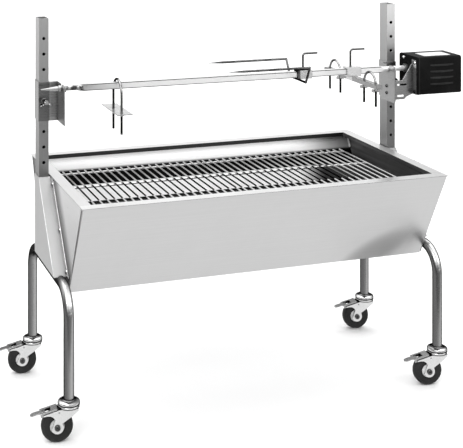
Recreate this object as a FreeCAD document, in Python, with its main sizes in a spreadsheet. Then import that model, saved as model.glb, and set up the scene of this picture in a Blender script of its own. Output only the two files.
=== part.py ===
import FreeCAD, Part
import math
import os
import Sketcher
from FreeCAD import Placement, Rotation, Vector

# Rotisserie spit roaster on four braked casters: an open charcoal trough, a
# two-piece wire grate, two perforated uprights with height carriages, a square
# spit with its fork, back brace and leg bracket, and a geared motor.
# X runs along the spit (left is -X, the motor is at +X), front is -Y, rear is
# +Y, Z is up and Z = 0 is the floor. Positions are taken from the middle of the
# trough; node() then shifts every piece by rim_cx, so that the origin is the
# bottom centre of the whole object's box.

os.makedirs("parts", exist_ok=True)
doc = FreeCAD.newDocument("SpitRoaster")
sheet = doc.addObject("Spreadsheet::Sheet", "Sheet")

# alias, value in mm (or a count, or degrees), note
DIMENSIONS = [
    ("rim_cx", -35.88, "trough middle from the origin, X"),
    ("rim_half_x", 480.0, "rim outer edge from the middle, X"),
    ("rim_half_y", 266.4, "rim outer edge from the middle, Y"),
    ("rim_z", 557.2, "rim height above the floor"),
    ("flange_w", 29.0, "inward rim flange width"),
    ("lip_drop", 11.0, "down-turned lip depth"),
    ("sheet_t", 1.2, "sheet thickness of trough"),
    ("wall_ty", 1.4, "sloped wall thickness measured along Y"),
    ("floor_z", 321.4, "underside of trough"),
    ("floor_half", 136.0, "trough bottom half width, Y"),
    ("end_x", 477.0, "end panel outer face"),
    ("tray_half", 131.0, "charcoal tray bottom half width"),
    ("tray_top", 475.0, "charcoal tray top edge height"),
    ("tray_x", 470.0, "charcoal tray half length"),
    ("wire_r", 2.0, "grate wire radius"),
    ("rail_r", 2.5, "grate cross rail radius"),
    ("grate_z", 509.0, "grate wire axis height"),
    ("grate_half", 236.5, "grate wire half length"),
    ("wire_pitch", 20.5, "grate wire pitch"),
    ("wire_count", 22.0, "wires in one grate half"),
    ("post_x", 496.5, "upright middle, X"),
    ("post_y", 62.9, "upright middle, Y"),
    ("post_w", 25.0, "upright width, X"),
    ("post_d", 40.0, "upright depth, Y"),
    ("post_t", 1.5, "upright wall"),
    ("post_foot", 362.0, "upright lower end"),
    ("post_top", 955.0, "upright upper end"),
    ("hole_r", 4.25, "height hole radius"),
    ("hole_top", 903.9, "uppermost height hole"),
    ("hole_pitch", 39.26, "height hole pitch"),
    ("hole_count", 9.0, "height holes in one upright"),
    ("leg_x", 493.0, "leg tube axis, X"),
    ("leg_front", 195.0, "front leg distance, -Y"),
    ("leg_rear", 187.0, "rear leg distance, +Y"),
    ("leg_r", 12.5, "leg tube radius"),
    ("leg_t", 1.5, "leg tube wall"),
    ("leg_cross", 345.0, "leg frame crossing height"),
    ("leg_bend", 62.0, "leg frame bend radius"),
    ("leg_foot", 97.5, "leg tube lower end"),
    ("bracket_out", 510.5, "side bracket outer face"),
    ("bracket_t", 1.5, "side bracket sheet"),
    ("bracket_top", 554.0, "side bracket top"),
    ("bracket_bot", 354.6, "side bracket bottom"),
    ("bracket_back", 84.6, "side bracket rear face, Y"),
    ("edge_top_y", 40.5, "side bracket front edge at the top, Y"),
    ("edge_bot_y", 119.5, "side bracket front edge at the bottom, -Y"),
    ("lip_w", 16.0, "side bracket screw lip width"),
    ("screw_r", 2.45, "screw shank radius"),
    ("screw_hole_r", 2.6, "screw hole radius"),
    ("nut_r", 4.6, "screw nut radius across corners"),
    ("nut_len", 3.6, "screw nut height"),
    ("sleeve_gap", 0.3, "carriage sleeve clearance each side"),
    ("sleeve_t", 1.5, "carriage sheet"),
    ("sleeve_lo", 695.4, "carriage sleeve bottom"),
    ("sleeve_hi", 794.8, "carriage sleeve top"),
    ("rest_x", 461.8, "spit rest plate face, X"),
    ("rest_y", 31.0, "spit rest front edge, -Y"),
    ("spit_z", 783.4, "spit axis height"),
    ("spit_w", 16.0, "square spit bar"),
    ("spit_left", 421.0, "bar end at the rest side, -X"),
    ("spit_right", 446.0, "bar end at the motor side, +X"),
    ("journal_r", 6.0, "journal radius"),
    ("drive_r", 7.0, "drive end radius"),
    ("tang_w", 9.5, "square drive tang"),
    ("arm_t", 2.0, "motor bracket sheet"),
    ("mot_x", 518.0, "motor housing left face"),
    ("mot_len", 134.0, "motor housing length"),
    ("mot_y", 64.0, "motor housing front face, -Y"),
    ("mot_dep", 98.0, "motor housing depth"),
    ("mot_z", 719.0, "motor housing bottom"),
    ("mot_ht", 102.0, "motor housing height"),
    ("mot_t", 2.5, "motor housing wall"),
    ("mot_plate_t", 2.6, "motor end plate thickness"),
    ("mot_corner_r", 7.0, "motor housing corner radius"),
    ("gear_mod", 1.3, "gear module"),
    ("gear_big", 42.0, "output gear teeth"),
    ("gear_small", 14.0, "pinion teeth"),
    ("wheel_r", 37.5, "caster wheel radius"),
    ("trail", 28.0, "caster trail"),
    ("caster_turn", -8.0, "caster heading at rest, degrees"),
]
for row, (alias, value, note) in enumerate(DIMENSIONS, start=1):
    sheet.set("A%d" % row, note)
    sheet.set("B%d" % row, repr(value))
    sheet.setAlias("B%d" % row, alias)
doc.recompute()


# ---------------------------------------------------------------- sizes
class Size:
    """A size that carries its number and the sheet expression it came from."""

    def __init__(self, text, value):
        self.text = text
        self.value = float(value)

    def __add__(self, other):
        other = as_size(other)
        return Size("(%s + %s)" % (self.text, other.text), self.value + other.value)

    __radd__ = __add__

    def __neg__(self):
        return Size("(0 - %s)" % self.text, -self.value)

    def __sub__(self, other):
        return self + (-as_size(other))

    def __rsub__(self, other):
        return as_size(other) + (-self)

    def __mul__(self, other):
        other = as_size(other)
        return Size("(%s * %s)" % (self.text, other.text), self.value * other.value)

    __rmul__ = __mul__

    def __truediv__(self, other):
        other = as_size(other)
        return Size("(%s / %s)" % (self.text, other.text), self.value / other.value)


def as_size(number):
    return number if isinstance(number, Size) else Size("%.6f" % number, number)


class Dims:
    """Reads a driving dimension by its alias."""

    def __getattr__(self, name):
        return Size("Sheet." + name, float(sheet.get(name)))


dim = Dims()
made = [0]


def next_name(stem):
    made[0] += 1
    return "%s%03d" % (stem, made[0])


def fresh(kind, stem):
    return doc.addObject(kind, next_name(stem))


def bind(item, prop, length):
    length = as_size(length)
    setattr(item, prop, length.value)
    item.setExpression(prop, length.text)


# ---------------------------------------------------------------- solids
ALONG_X = Rotation(Vector(0, 1, 0), 90)
ALONG_Y = Rotation(Vector(1, 0, 0), -90)
ALONG_Z = Rotation()


def place(item, x, y, z, rotation=ALONG_Z):
    base = [as_size(value) for value in (x, y, z)]
    item.Placement = Placement(Vector(*[length.value for length in base]), rotation)
    for axis, length in zip("xyz", base):
        item.setExpression("Placement.Base." + axis, length.text)
    return item


def box(x0, x1, y0, y1, z0, z1):
    item = fresh("Part::Box", "Block")
    bind(item, "Length", as_size(x1) - x0)
    bind(item, "Width", as_size(y1) - y0)
    bind(item, "Height", as_size(z1) - z0)
    return place(item, x0, y0, z0)


def x_bar(x0, x1, y, z, half_y, half_z):
    """A box along X, centred on y and z."""
    return box(x0, x1, y - half_y, y + half_y, z - half_z, z + half_z)


def z_bar(x, y, half_x, half_y, z0, z1):
    """A box along Z, centred on x and y."""
    return box(x - half_x, x + half_x, y - half_y, y + half_y, z0, z1)


def rod(radius, length, x, y, z, rotation=ALONG_Z):
    item = fresh("Part::Cylinder", "Round")
    bind(item, "Radius", radius)
    bind(item, "Height", length)
    return place(item, x, y, z, rotation)


def cone(start_r, end_r, length, x, y, z, rotation=ALONG_Z):
    item = fresh("Part::Cone", "Taper")
    bind(item, "Radius1", start_r)
    bind(item, "Radius2", end_r)
    bind(item, "Height", length)
    return place(item, x, y, z, rotation)


def bend(bend_r, bar_r, sweep, x, y, z, rotation):
    """Part of a torus, sweep degrees from its own X axis in its own XY plane."""
    item = fresh("Part::Torus", "Bend")
    bind(item, "Radius1", bend_r)
    bind(item, "Radius2", bar_r)
    item.Angle3 = sweep
    return place(item, x, y, z, rotation)


def ball(radius, x, y, z):
    item = fresh("Part::Sphere", "Ball")
    bind(item, "Radius", radius)
    return place(item, x, y, z)


def hexagon(corner_r, length, x, y, z, rotation=ALONG_Z):
    item = fresh("Part::Prism", "Hex")
    item.Polygon = 6
    bind(item, "Circumradius", corner_r)
    bind(item, "Height", length)
    return place(item, x, y, z, rotation)


def fuse(*items):
    if len(items) == 1:
        return items[0]
    joined = fresh("Part::MultiFuse", "Joined")
    joined.Shapes = list(items)
    return joined


def cut(base, *tools):
    trimmed = fresh("Part::Cut", "Trimmed")
    trimmed.Base = base
    trimmed.Tool = fuse(*tools)
    return trimmed


def common(base, tool):
    shared = fresh("Part::Common", "Shared")
    shared.Base = base
    shared.Tool = tool
    return shared


def group(*items):
    compound = fresh("Part::Compound", "Group")
    compound.Links = list(items)
    return compound


# ---------------------------------------------------------------- outlines
def rect(a0, a1, b0, b1):
    return [(a0, b0), (a1, b0), (a1, b1), (a0, b1)]


def mirrored(side, outline):
    """The outline with its first coordinate times side, which is -1 or 1."""
    return [(side * a, b) for a, b in outline]


def both_sides(half):
    """Closes a right-hand half outline with its mirror image."""
    return mirrored(-1, half[::-1]) + half


def above_and_below(half):
    """Closes an upper half profile with its mirror image below."""
    return [(radius, -z) for radius, z in half] + half[::-1]


class Piece:
    """A PartDesign body built from constrained sketches."""

    def __init__(self):
        self.body = fresh("PartDesign::Body", "Piece")
        self.body.AllowCompound = False

    def sketch(self, plane, offset, loops=(), circles=()):
        sketch = self.body.newObject("Sketcher::SketchObject", next_name("Profile"))
        role = plane + "_Plane"
        datum = [o for o in self.body.Origin.OriginFeatures if o.Role == role][0]
        sketch.AttachmentSupport = (datum, [""])
        sketch.MapMode = "FlatFace"
        offset = as_size(offset)
        # the XZ plane's normal is -Y
        if plane == "XZ":
            offset = -offset
        sketch.AttachmentOffset = Placement(Vector(0, 0, offset.value), Rotation())
        sketch.setExpression("AttachmentOffset.Base.z", offset.text)
        for loop in loops:
            self._add_loop(sketch, [(as_size(a), as_size(b)) for a, b in loop])
        for a, b, radius in circles:
            self._add_circle(sketch, as_size(a), as_size(b), as_size(radius))
        return sketch

    def _add_loop(self, sketch, points):
        first = sketch.GeometryCount
        total = len(points)
        for i in range(total):
            ends = [
                Vector(a.value, b.value, 0)
                for a, b in (points[i], points[(i + 1) % total])
            ]
            sketch.addGeometry(Part.LineSegment(*ends), False)
        for i in range(total):
            following = first + (i + 1) % total
            sketch.addConstraint(
                Sketcher.Constraint("Coincident", first + i, 2, following, 1)
            )
        for i, (a, b) in enumerate(points):
            self._tie(sketch, "DistanceX", first + i, 1, a, -2)
            self._tie(sketch, "DistanceY", first + i, 1, b, -1)

    def _add_circle(self, sketch, a, b, radius):
        index = sketch.GeometryCount
        centre = Vector(a.value, b.value, 0)
        sketch.addGeometry(Part.Circle(centre, Vector(0, 0, 1), radius.value), False)
        self._tie(sketch, "DistanceX", index, 3, a, -2)
        self._tie(sketch, "DistanceY", index, 3, b, -1)
        k = sketch.addConstraint(Sketcher.Constraint("Radius", index, radius.value))
        sketch.setExpression("Constraints[%d]" % k, radius.text)

    def _tie(self, sketch, kind, index, point, distance, axis):
        """Holds a point at a signed distance from the sketch origin."""
        if abs(distance.value) < 1e-9:
            sketch.addConstraint(
                Sketcher.Constraint("PointOnObject", index, point, axis)
            )
            return
        # a distance constraint is positive, so its ends swap with the sign
        ends = (-1, 1, index, point)
        if distance.value < 0:
            ends = (index, point, -1, 1)
            distance = -distance
        k = sketch.addConstraint(Sketcher.Constraint(kind, *ends, distance.value))
        sketch.setExpression("Constraints[%d]" % k, distance.text)

    def pad(self, plane, start, length, loops=(), circles=()):
        """Adds material from start for length in the positive axis direction."""
        profile = self.sketch(plane, start, loops, circles)
        feature = self.body.newObject("PartDesign::Pad", next_name("Pad"))
        feature.Profile = profile
        bind(feature, "Length", length)
        feature.Reversed = plane == "XZ"
        self.body.Tip = feature
        return feature

    def pocket(self, plane, start, length, loops=(), circles=()):
        """Removes material from start for length in the positive axis direction."""
        profile = self.sketch(plane, start, loops, circles)
        doc.recompute()
        before = self.body.Shape.Volume
        feature = self.body.newObject("PartDesign::Pocket", next_name("Pocket"))
        feature.Profile = profile
        bind(feature, "Length", length)
        feature.Reversed = plane != "XZ"
        self.body.Tip = feature
        doc.recompute()
        if not self.body.Shape.Volume < before - 1e-3:
            raise RuntimeError("a pocket removed nothing: " + feature.Name)

    def pierce(self, plane, start, thickness, loops=(), circles=()):
        """A pocket right through a sheet, 1 mm past both of its faces."""
        self.pocket(plane, start - 1, thickness + 2, loops, circles)

    def turn(self, profile):
        """Revolves a half profile drawn in the XZ plane about the Z axis."""
        sketch = self.sketch("XZ", 0, [profile])
        feature = self.body.newObject("PartDesign::Revolution", next_name("Turn"))
        feature.Profile = sketch
        feature.ReferenceAxis = (sketch, ["V_Axis"])
        feature.Angle = 360
        self.body.Tip = feature

    def soften(self, radius, choose):
        """Rounds the edges that choose(edge) accepts."""
        doc.recompute()
        last = self.body.Tip
        names = [
            "Edge%d" % i
            for i, edge in enumerate(last.Shape.Edges, start=1)
            if choose(edge)
        ]
        feature = self.body.newObject("PartDesign::Fillet", next_name("Soft"))
        feature.Base = (last, names)
        bind(feature, "Radius", radius)
        self.body.Tip = feature
        doc.recompute()


NODES = []
SIDES = (("left", -1), ("right", 1))


def node(name, item, x=0, y=0, z=0, turn=0.0):
    """Names a finished sub-part and places it, shifted with the trough."""
    item.Label = name
    place(item, dim.rim_cx + x, y, z, Rotation(Vector(0, 0, 1), turn))
    NODES.append((name, item))


def left_end(side, near, far):
    """Lowest X of a span lying near to far from the middle on one side."""
    return near if side > 0 else -far


# ---------------------------------------------------------------- trough
wall_slope = (dim.rim_half_y - dim.floor_half) / (dim.rim_z - dim.floor_z)
rim_under = dim.rim_z - dim.sheet_t
flange_y = dim.rim_half_y - dim.flange_w
lip_z = dim.rim_z - dim.lip_drop


def wall_y(z):
    """Outer face of the sloped wall at height z."""
    return dim.rim_half_y - (dim.rim_z - z) * wall_slope


def long_panel(name, side):
    """Sloped long wall with its flange and down-turned lip."""
    piece = Piece()
    outline = [
        (dim.rim_half_y, dim.rim_z),
        (flange_y, dim.rim_z),
        (flange_y, lip_z),
        (flange_y + dim.sheet_t, lip_z),
        (flange_y + dim.sheet_t, rim_under),
        (wall_y(rim_under) - dim.wall_ty, rim_under),
        (dim.floor_half - dim.wall_ty, dim.floor_z),
        (dim.floor_half, dim.floor_z),
    ]
    piece.pad("YZ", -dim.end_x, dim.end_x * 2, [mirrored(side, outline)])
    # the flange runs on to the rim's ends
    flange = rect(
        -dim.rim_half_x, dim.rim_half_x, side * dim.rim_half_y, side * flange_y
    )
    piece.pad("XY", rim_under, dim.sheet_t, [flange])
    node(name, piece.body)


long_panel("front_panel", -1)
long_panel("rear_panel", 1)

floor_in = dim.floor_half - dim.wall_ty
floor_top = dim.floor_z + dim.sheet_t
floor_sheet = box(-dim.end_x, dim.end_x, -floor_in, floor_in, dim.floor_z, floor_top)
node("bottom_panel", group(floor_sheet))

# screws along the slanted front edge of each side bracket
edge_run = (dim.edge_top_y + dim.edge_bot_y) / (dim.bracket_top - dim.bracket_bot)
SCREW_Z = (540.0, 447.0, 366.0)
SCREW_INSET = 8.0


def screw_y(z):
    return dim.edge_top_y - (dim.bracket_top - z) * edge_run - SCREW_INSET


LIP_HOLES = [(screw_y(z), z, dim.screw_hole_r) for z in SCREW_Z]


def end_panel(name, side):
    """Upright end wall, slotted for the long panels' lips, with its own flange."""
    seam_gap = 0.05
    flange_gap = 0.1
    piece = Piece()
    wall_x = left_end(side, dim.end_x - dim.sheet_t, dim.end_x)
    slot_in = flange_y - seam_gap
    slot_out = flange_y + dim.sheet_t + seam_gap
    slot_z = lip_z - seam_gap
    half = [
        (slot_in, rim_under),
        (slot_in, slot_z),
        (slot_out, slot_z),
        (slot_out, rim_under),
        (wall_y(rim_under) - dim.wall_ty - seam_gap, rim_under),
        (wall_y(floor_top) - dim.wall_ty - seam_gap, floor_top),
    ]
    piece.pad("YZ", wall_x, dim.sheet_t, [both_sides(half)])
    flange_half = flange_y - flange_gap
    flange_x = dim.rim_half_x - dim.flange_w
    flange = [
        (dim.rim_half_x, dim.rim_z),
        (flange_x, dim.rim_z),
        (flange_x, lip_z),
        (flange_x + dim.sheet_t, lip_z),
        (flange_x + dim.sheet_t, rim_under),
        (dim.rim_half_x, rim_under),
    ]
    piece.pad("XZ", -flange_half, flange_half * 2, [mirrored(side, flange)])
    piece.pierce("YZ", wall_x, dim.sheet_t, circles=LIP_HOLES)
    node(name, piece.body)


for word, side in SIDES:
    end_panel("end_panel_" + word, side)


def charcoal_tray():
    """One folded trough, just clear of the bottom panel, with two end plates."""
    floor_gap = 0.2
    end_inset = 0.4
    piece = Piece()
    low = floor_top + floor_gap
    low_y = dim.tray_half
    top_y = low_y + (dim.tray_top - low) * wall_slope
    half = [
        (low_y, low),
        (top_y, dim.tray_top),
        (top_y - dim.wall_ty, dim.tray_top),
        (low_y - dim.wall_ty, low + dim.sheet_t),
    ]
    piece.pad("YZ", -dim.tray_x, dim.tray_x * 2, [both_sides(half)])
    end_half = [(low_y - end_inset, low), (top_y - end_inset, dim.tray_top)]
    for x0 in (-dim.tray_x, dim.tray_x - dim.sheet_t):
        piece.pad("YZ", x0, dim.sheet_t, [both_sides(end_half)])
    node("charcoal_tray", piece.body)


charcoal_tray()

# ---------------------------------------------------------------- grate
RAIL_LEN = 444.0
RAIL_START = 3.0
RAIL_Y = (-224.6, -64.3, 89.3, 224.6)
FIRST_WIRE_X = 8.0
WELD_DEPTH = 0.2


def grate(name, side):
    piece = Piece()
    # the rails are separate solids until the wires tie them together
    piece.body.AllowCompound = True
    rail_z = dim.grate_z - dim.wire_r - dim.rail_r + WELD_DEPTH
    piece.pad(
        "YZ",
        left_end(side, RAIL_START, RAIL_START + RAIL_LEN),
        RAIL_LEN,
        circles=[(y, rail_z, dim.rail_r) for y in RAIL_Y],
    )
    wire = piece.pad(
        "XZ",
        -dim.grate_half,
        dim.grate_half * 2,
        circles=[(side * FIRST_WIRE_X, dim.grate_z, dim.wire_r)],
    )
    wires = piece.body.newObject("PartDesign::LinearPattern", next_name("Wires"))
    wires.Originals = [wire]
    wires.Direction = (wire.Profile[0], ["H_Axis"])
    wires.Reversed = side < 0
    bind(wires, "Length", dim.wire_pitch * (dim.wire_count - 1))
    wires.Occurrences = int(dim.wire_count.value)
    piece.body.Tip = wires
    node(name, piece.body)


for word, side in SIDES:
    grate("grate_" + word, side)


# ---------------------------------------------------------------- side brackets
def side_bracket(name, side):
    """Outer plate, front and rear flanges, and the slanted screw lip."""
    slanted_ty = 1.9  # front flange thickness measured along Y
    arch_gap = 0.1
    top_y, bot_y, back = dim.edge_top_y, -dim.edge_bot_y, dim.bracket_back
    top, bot, thick = dim.bracket_top, dim.bracket_bot, dim.bracket_t
    plate_in = dim.bracket_out - thick
    piece = Piece()
    plate = [(back, top), (top_y, top), (bot_y, bot), (back, bot)]
    piece.pad("YZ", left_end(side, plate_in, dim.bracket_out), thick, [plate])
    front_flange = [
        (top_y, top),
        (bot_y, bot),
        (bot_y + slanted_ty, bot),
        (top_y + slanted_ty, top),
    ]
    rear_flange = [(back, top), (back - thick, top), (back - thick, bot), (back, bot)]
    for flange in (front_flange, rear_flange):
        start = left_end(side, dim.end_x, plate_in)
        piece.pad("YZ", start, plate_in - dim.end_x, [flange])
    lip_x = left_end(side, dim.end_x, dim.end_x + thick)
    lip = [(top_y, top), (top_y - dim.lip_w, top), (bot_y - dim.lip_w, bot), (bot_y, bot)]
    piece.pad("YZ", lip_x, thick, [lip])
    # arched cut-outs where the leg frame passes under both flanges
    piece.pocket(
        "XZ",
        -(dim.edge_bot_y + 20),
        dim.edge_bot_y + back + 30,
        circles=[(side * dim.leg_x, dim.leg_cross, dim.leg_r + arch_gap)],
    )
    piece.pierce("YZ", lip_x, thick, circles=LIP_HOLES)
    node(name, piece.body)


for word, side in SIDES:
    side_bracket("side_bracket_" + word, side)


def bracket_screw(side, z):
    """Slotted pan-head screw with its nut inside the trough."""
    shank_len, head_len = 7.5, 2.6
    head_radii = (4.6, 3.4)  # at the lip, at the outer end
    slot_in, slot_out = 1.4, 3.0
    slot_half_y, slot_half_z = 3.0, 0.5
    y = screw_y(z)
    face = dim.end_x + dim.bracket_t
    nut_face = dim.end_x - dim.sheet_t
    shank_x = left_end(side, face - shank_len, face)
    head_x = left_end(side, face, face + head_len)
    nut_x = left_end(side, nut_face - dim.nut_len, nut_face)
    slot_x = left_end(side, face + slot_in, face + slot_out)
    start_r, end_r = head_radii[::side]
    screw = fuse(
        rod(dim.screw_r, shank_len, shank_x, y, z, ALONG_X),
        cone(start_r, end_r, head_len, head_x, y, z, ALONG_X),
        hexagon(dim.nut_r, dim.nut_len, nut_x, y, z, ALONG_X),
    )
    slot_end = slot_x + (slot_out - slot_in)
    return cut(screw, x_bar(slot_x, slot_end, y, z, slot_half_y, slot_half_z))


node("bracket_screws", group(*[bracket_screw(s, z) for s in (-1, 1) for z in SCREW_Z]))


# ---------------------------------------------------------------- uprights
def tube_bars(x, half_x, half_y, wall, z0, z1):
    """Outer and inner bars of a square tube around the upright's axis."""
    return (
        z_bar(x, dim.post_y, half_x, half_y, z0, z1),
        z_bar(x, dim.post_y, half_x - wall, half_y - wall, z0 - 1, z1 + 1),
    )


def upright(name, side):
    x = side * dim.post_x
    half_y = dim.post_d / 2
    outer, inner = tube_bars(
        x, dim.post_w / 2, half_y, dim.post_t, dim.post_foot, dim.post_top
    )
    drills = []
    for k in range(int(dim.hole_count.value)):
        z = dim.hole_top - dim.hole_pitch * k
        y = dim.post_y - half_y - 2
        drills.append(rod(dim.hole_r, dim.post_d + 4, x, y, z, ALONG_Y))
    node(name, cut(outer, inner, *drills))


for word, side in SIDES:
    upright("upright_" + word, side)


# ---------------------------------------------------------------- leg frames
def leg_bar(x, radius, overrun=0):
    """An inverted U of round bar, run past both lower ends by overrun."""
    corner = dim.leg_bend
    bend_z = dim.leg_cross - corner
    front, rear = -dim.leg_front, dim.leg_rear
    # each bend's own X axis points up and its own Y axis points outward
    front_turn = Rotation(Vector(0, 0, 1), Vector(0, -1, 0), Vector(1, 0, 0), "XYZ")
    rear_turn = Rotation(Vector(0, 0, 1), Vector(0, 1, 0), Vector(-1, 0, 0), "XYZ")
    foot = dim.leg_foot - overrun
    return fuse(
        rod(radius, rear - front - corner * 2, x, front + corner, dim.leg_cross, ALONG_Y),
        bend(corner, radius, 90, x, front + corner, bend_z, front_turn),
        bend(corner, radius, 90, x, rear - corner, bend_z, rear_turn),
        rod(radius, bend_z - foot, x, front, foot),
        rod(radius, bend_z - foot, x, rear, foot),
    )


for word, side in SIDES:
    x = side * dim.leg_x
    frame = cut(leg_bar(x, dim.leg_r), leg_bar(x, dim.leg_r - dim.leg_t, overrun=2))
    node("leg_frame_" + word, frame)

# ---------------------------------------------------------------- carriages
carriage_front = dim.post_y - dim.post_d / 2 - dim.sleeve_gap - dim.sleeve_t
# the wing bolt faces the fifth height hole from the top
clamp_z = dim.hole_top - dim.hole_pitch * 4
# foremost edge of the right rest plate and of the motor bracket
arm_front = -(dim.rest_y + 5.0)
TAB_SCREW_Y = 6.0
TAB_SCREW_Z = (735.8, 716.9)


def carriage(name, side):
    """Sleeve on the upright, with a web, a notched rest plate and a weld nut."""
    notch_gap = 0.5
    web_overlap = 0.5
    nut_r, nut_len = 8.0, 6.0
    bore_r, bore_len, bore_lead = 4.06, 30, 28
    thick = dim.sleeve_t
    x = side * dim.post_x
    half_x = dim.post_w / 2 + dim.sleeve_gap + thick
    half_y = dim.post_d / 2 + dim.sleeve_gap + thick
    low, high = dim.sleeve_lo, dim.sleeve_hi
    outer, inner = tube_bars(x, half_x, half_y, thick, low, high)
    web_end = dim.post_x - half_x + web_overlap
    plate_x = side * dim.rest_x
    if side < 0:
        web_x0, web_x1 = -web_end, plate_x + thick
        plate_front = -dim.rest_y
        notch_r = dim.journal_r + notch_gap
    else:
        web_x0, web_x1 = plate_x, web_end
        plate_front = arm_front
        notch_r = dim.drive_r + notch_gap
    web_back = carriage_front + thick
    web = box(web_x0, web_x1, carriage_front, web_back, low, high)
    plate = box(plate_x, plate_x + thick, plate_front, web_back, low, high)
    tool_x = plate_x - 3
    notch = fuse(
        rod(notch_r, 8, tool_x, 0, dim.spit_z, ALONG_X),
        box(tool_x, tool_x + 8, -notch_r, notch_r, dim.spit_z, high + 1),
    )
    nut = hexagon(nut_r, nut_len, x, carriage_front - nut_len, clamp_z, ALONG_Y)
    bore = rod(bore_r, bore_len, x, carriage_front - bore_lead, clamp_z, ALONG_Y)
    holes = [notch, bore]
    if side > 0:
        holes += [
            rod(dim.screw_hole_r, 8, tool_x, TAB_SCREW_Y, z, ALONG_X)
            for z in TAB_SCREW_Z
        ]
    node(name, cut(fuse(cut(outer, inner), web, plate, nut), *holes))


def wing_bolt(name, side):
    """Shank, hub and two wings."""
    shank_r, hub_r, hub_len = 4.0, 6.0, 8.0
    tip_gap = 0.2
    wing_tilt = 65
    x = side * dim.post_x
    shank_y = carriage_front - 18.0
    tip = dim.post_y - dim.post_d / 2 - tip_gap
    shank = rod(shank_r, tip - shank_y, x, shank_y, clamp_z, ALONG_Y)
    hub = rod(hub_r, hub_len, x, shank_y - 7.0, clamp_z, ALONG_Y)
    wings = []
    for way in (-1, 1):
        wing = fuse(
            rod(7.0, 2.4, 11.0, -3.0, -1.2),
            box(0, 11, -4.5, 3.5, -1.2, 1.2),
        )
        tilt = Rotation(Vector(0, 1, 0), 90 - way * wing_tilt)
        wings.append(place(wing, x, shank_y - 3.5, clamp_z, tilt))
    node(name, fuse(shank, hub, *wings))


for word, side in SIDES:
    carriage("carriage_" + word, side)
for word, side in SIDES:
    wing_bolt("wing_bolt_" + word, side)

# ---------------------------------------------------------------- motor bracket
tab_x = dim.rest_x + dim.sleeve_t
STRIP_SCREW_Y = arm_front - 13.0
STRIP_SCREW_Z = (726.5, 804.5)


def motor_bracket():
    """Folded sheet from the right rest plate to the motor's left face."""
    thick = dim.arm_t
    piece = Piece()
    # tab against the rest plate
    piece.pad("YZ", tab_x, thick, [rect(arm_front, 20.0, 700.0, 752.0)])
    # side plate with a slanted upper edge
    side_plate = [
        (tab_x, 705.0),
        (tab_x + 28.0, 705.0),
        (tab_x + 36.0, 712.0),
        (dim.mot_x, 719.0),
        (dim.mot_x, 800.0),
        (dim.mot_x - 3.0, 800.0),
        (tab_x + 22.0, 757.0),
        (tab_x, 757.0),
    ]
    piece.pad("XZ", arm_front, thick, [side_plate])
    # strip screwed to the motor face
    strip_x = dim.mot_x - thick
    strip = rect(arm_front + thick, arm_front - 20.0, 719.0, 812.0)
    piece.pad("YZ", strip_x, thick, [strip])
    hole_r = dim.screw_hole_r
    tab_holes = [(TAB_SCREW_Y, z, hole_r) for z in TAB_SCREW_Z]
    piece.pierce("YZ", tab_x, thick, circles=tab_holes)
    # slots in the side plate: middle height, then both ends from the tab
    slot_half = 2.6
    for z, x0, x1 in ((745.0, 7.0, 36.0), (714.8, 7.0, 27.0)):
        slot = rect(tab_x + x0, tab_x + x1, z - slot_half, z + slot_half)
        piece.pierce("XZ", arm_front, thick, [slot])
    strip_holes = [(STRIP_SCREW_Y, z, hole_r) for z in STRIP_SCREW_Z]
    piece.pierce("YZ", strip_x, thick, circles=strip_holes)
    node("motor_bracket", piece.body)


motor_bracket()

# ---------------------------------------------------------------- motor
case_front, case_back = -dim.mot_y, dim.mot_dep - dim.mot_y
case_low, case_high = dim.mot_z, dim.mot_z + dim.mot_ht
case_end = dim.mot_x + dim.mot_len
case_outline = rect(case_front, case_back, case_low, case_high)

# the pinion lies 45 degrees down and to the front of the spit axis
gear_distance = dim.gear_mod * (dim.gear_big + dim.gear_small) / 2
pinion_y = -math.sqrt(0.5) * gear_distance
pinion_z = dim.spit_z - math.sqrt(0.5) * gear_distance

# switch and inlet openings in the housing's right end
SOCKET_Y = -15.0
SOCKET_HALF_Y = 14.0
SWITCH_Z, SWITCH_HALF_Z = 797.0, 7.0
INLET_Z, INLET_HALF_Z = 751.0, 11.0


def corner_edge(edge):
    """Edges along X at the housing's four corners."""
    if len(edge.Vertexes) != 2:
        return False
    start, end = [vertex.Point for vertex in edge.Vertexes]
    at_corner = any(abs(start.y - y.value) < 0.01 for y in (case_front, case_back))
    return abs(start.x - end.x) > 2 and at_corner


def motor_housing():
    """Rounded box, open at the left, with slots and end openings."""
    wall = dim.mot_t
    start = dim.mot_x + dim.mot_plate_t
    length = dim.mot_len - dim.mot_plate_t
    piece = Piece()
    piece.pad("YZ", start, length, [case_outline])
    piece.soften(dim.mot_corner_r, corner_edge)
    hollow = rect(case_front + wall, case_back - wall, case_low + wall, case_high - wall)
    piece.pocket("YZ", start - 1, length - wall + 1, [hollow])
    # cooling slots through the front face
    slot_low, slot_pitch, slot_height = 746.0, 17.0, 3.0
    slots = []
    for k in range(4):
        z = slot_low + slot_pitch * k
        slots.append(rect(dim.mot_x + 38, dim.mot_x + 108, z, z + slot_height))
    piece.pierce("XZ", case_front, wall, slots)
    openings = [
        rect(SOCKET_Y - SOCKET_HALF_Y, SOCKET_Y + SOCKET_HALF_Y, z - half, z + half)
        for z, half in ((SWITCH_Z, SWITCH_HALF_Z), (INLET_Z, INLET_HALF_Z))
    ]
    piece.pierce("YZ", case_end - wall, wall, openings)
    node("motor_housing", piece.body)


motor_housing()

# y, z and the bracket thickness under the head, for the motor face screws
FACE_SCREWS = [(STRIP_SCREW_Y, z, dim.arm_t) for z in STRIP_SCREW_Z] + [
    (24.0, 726.5, 0.0),
    (12.4, 811.0, 0.0),
]


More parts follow.
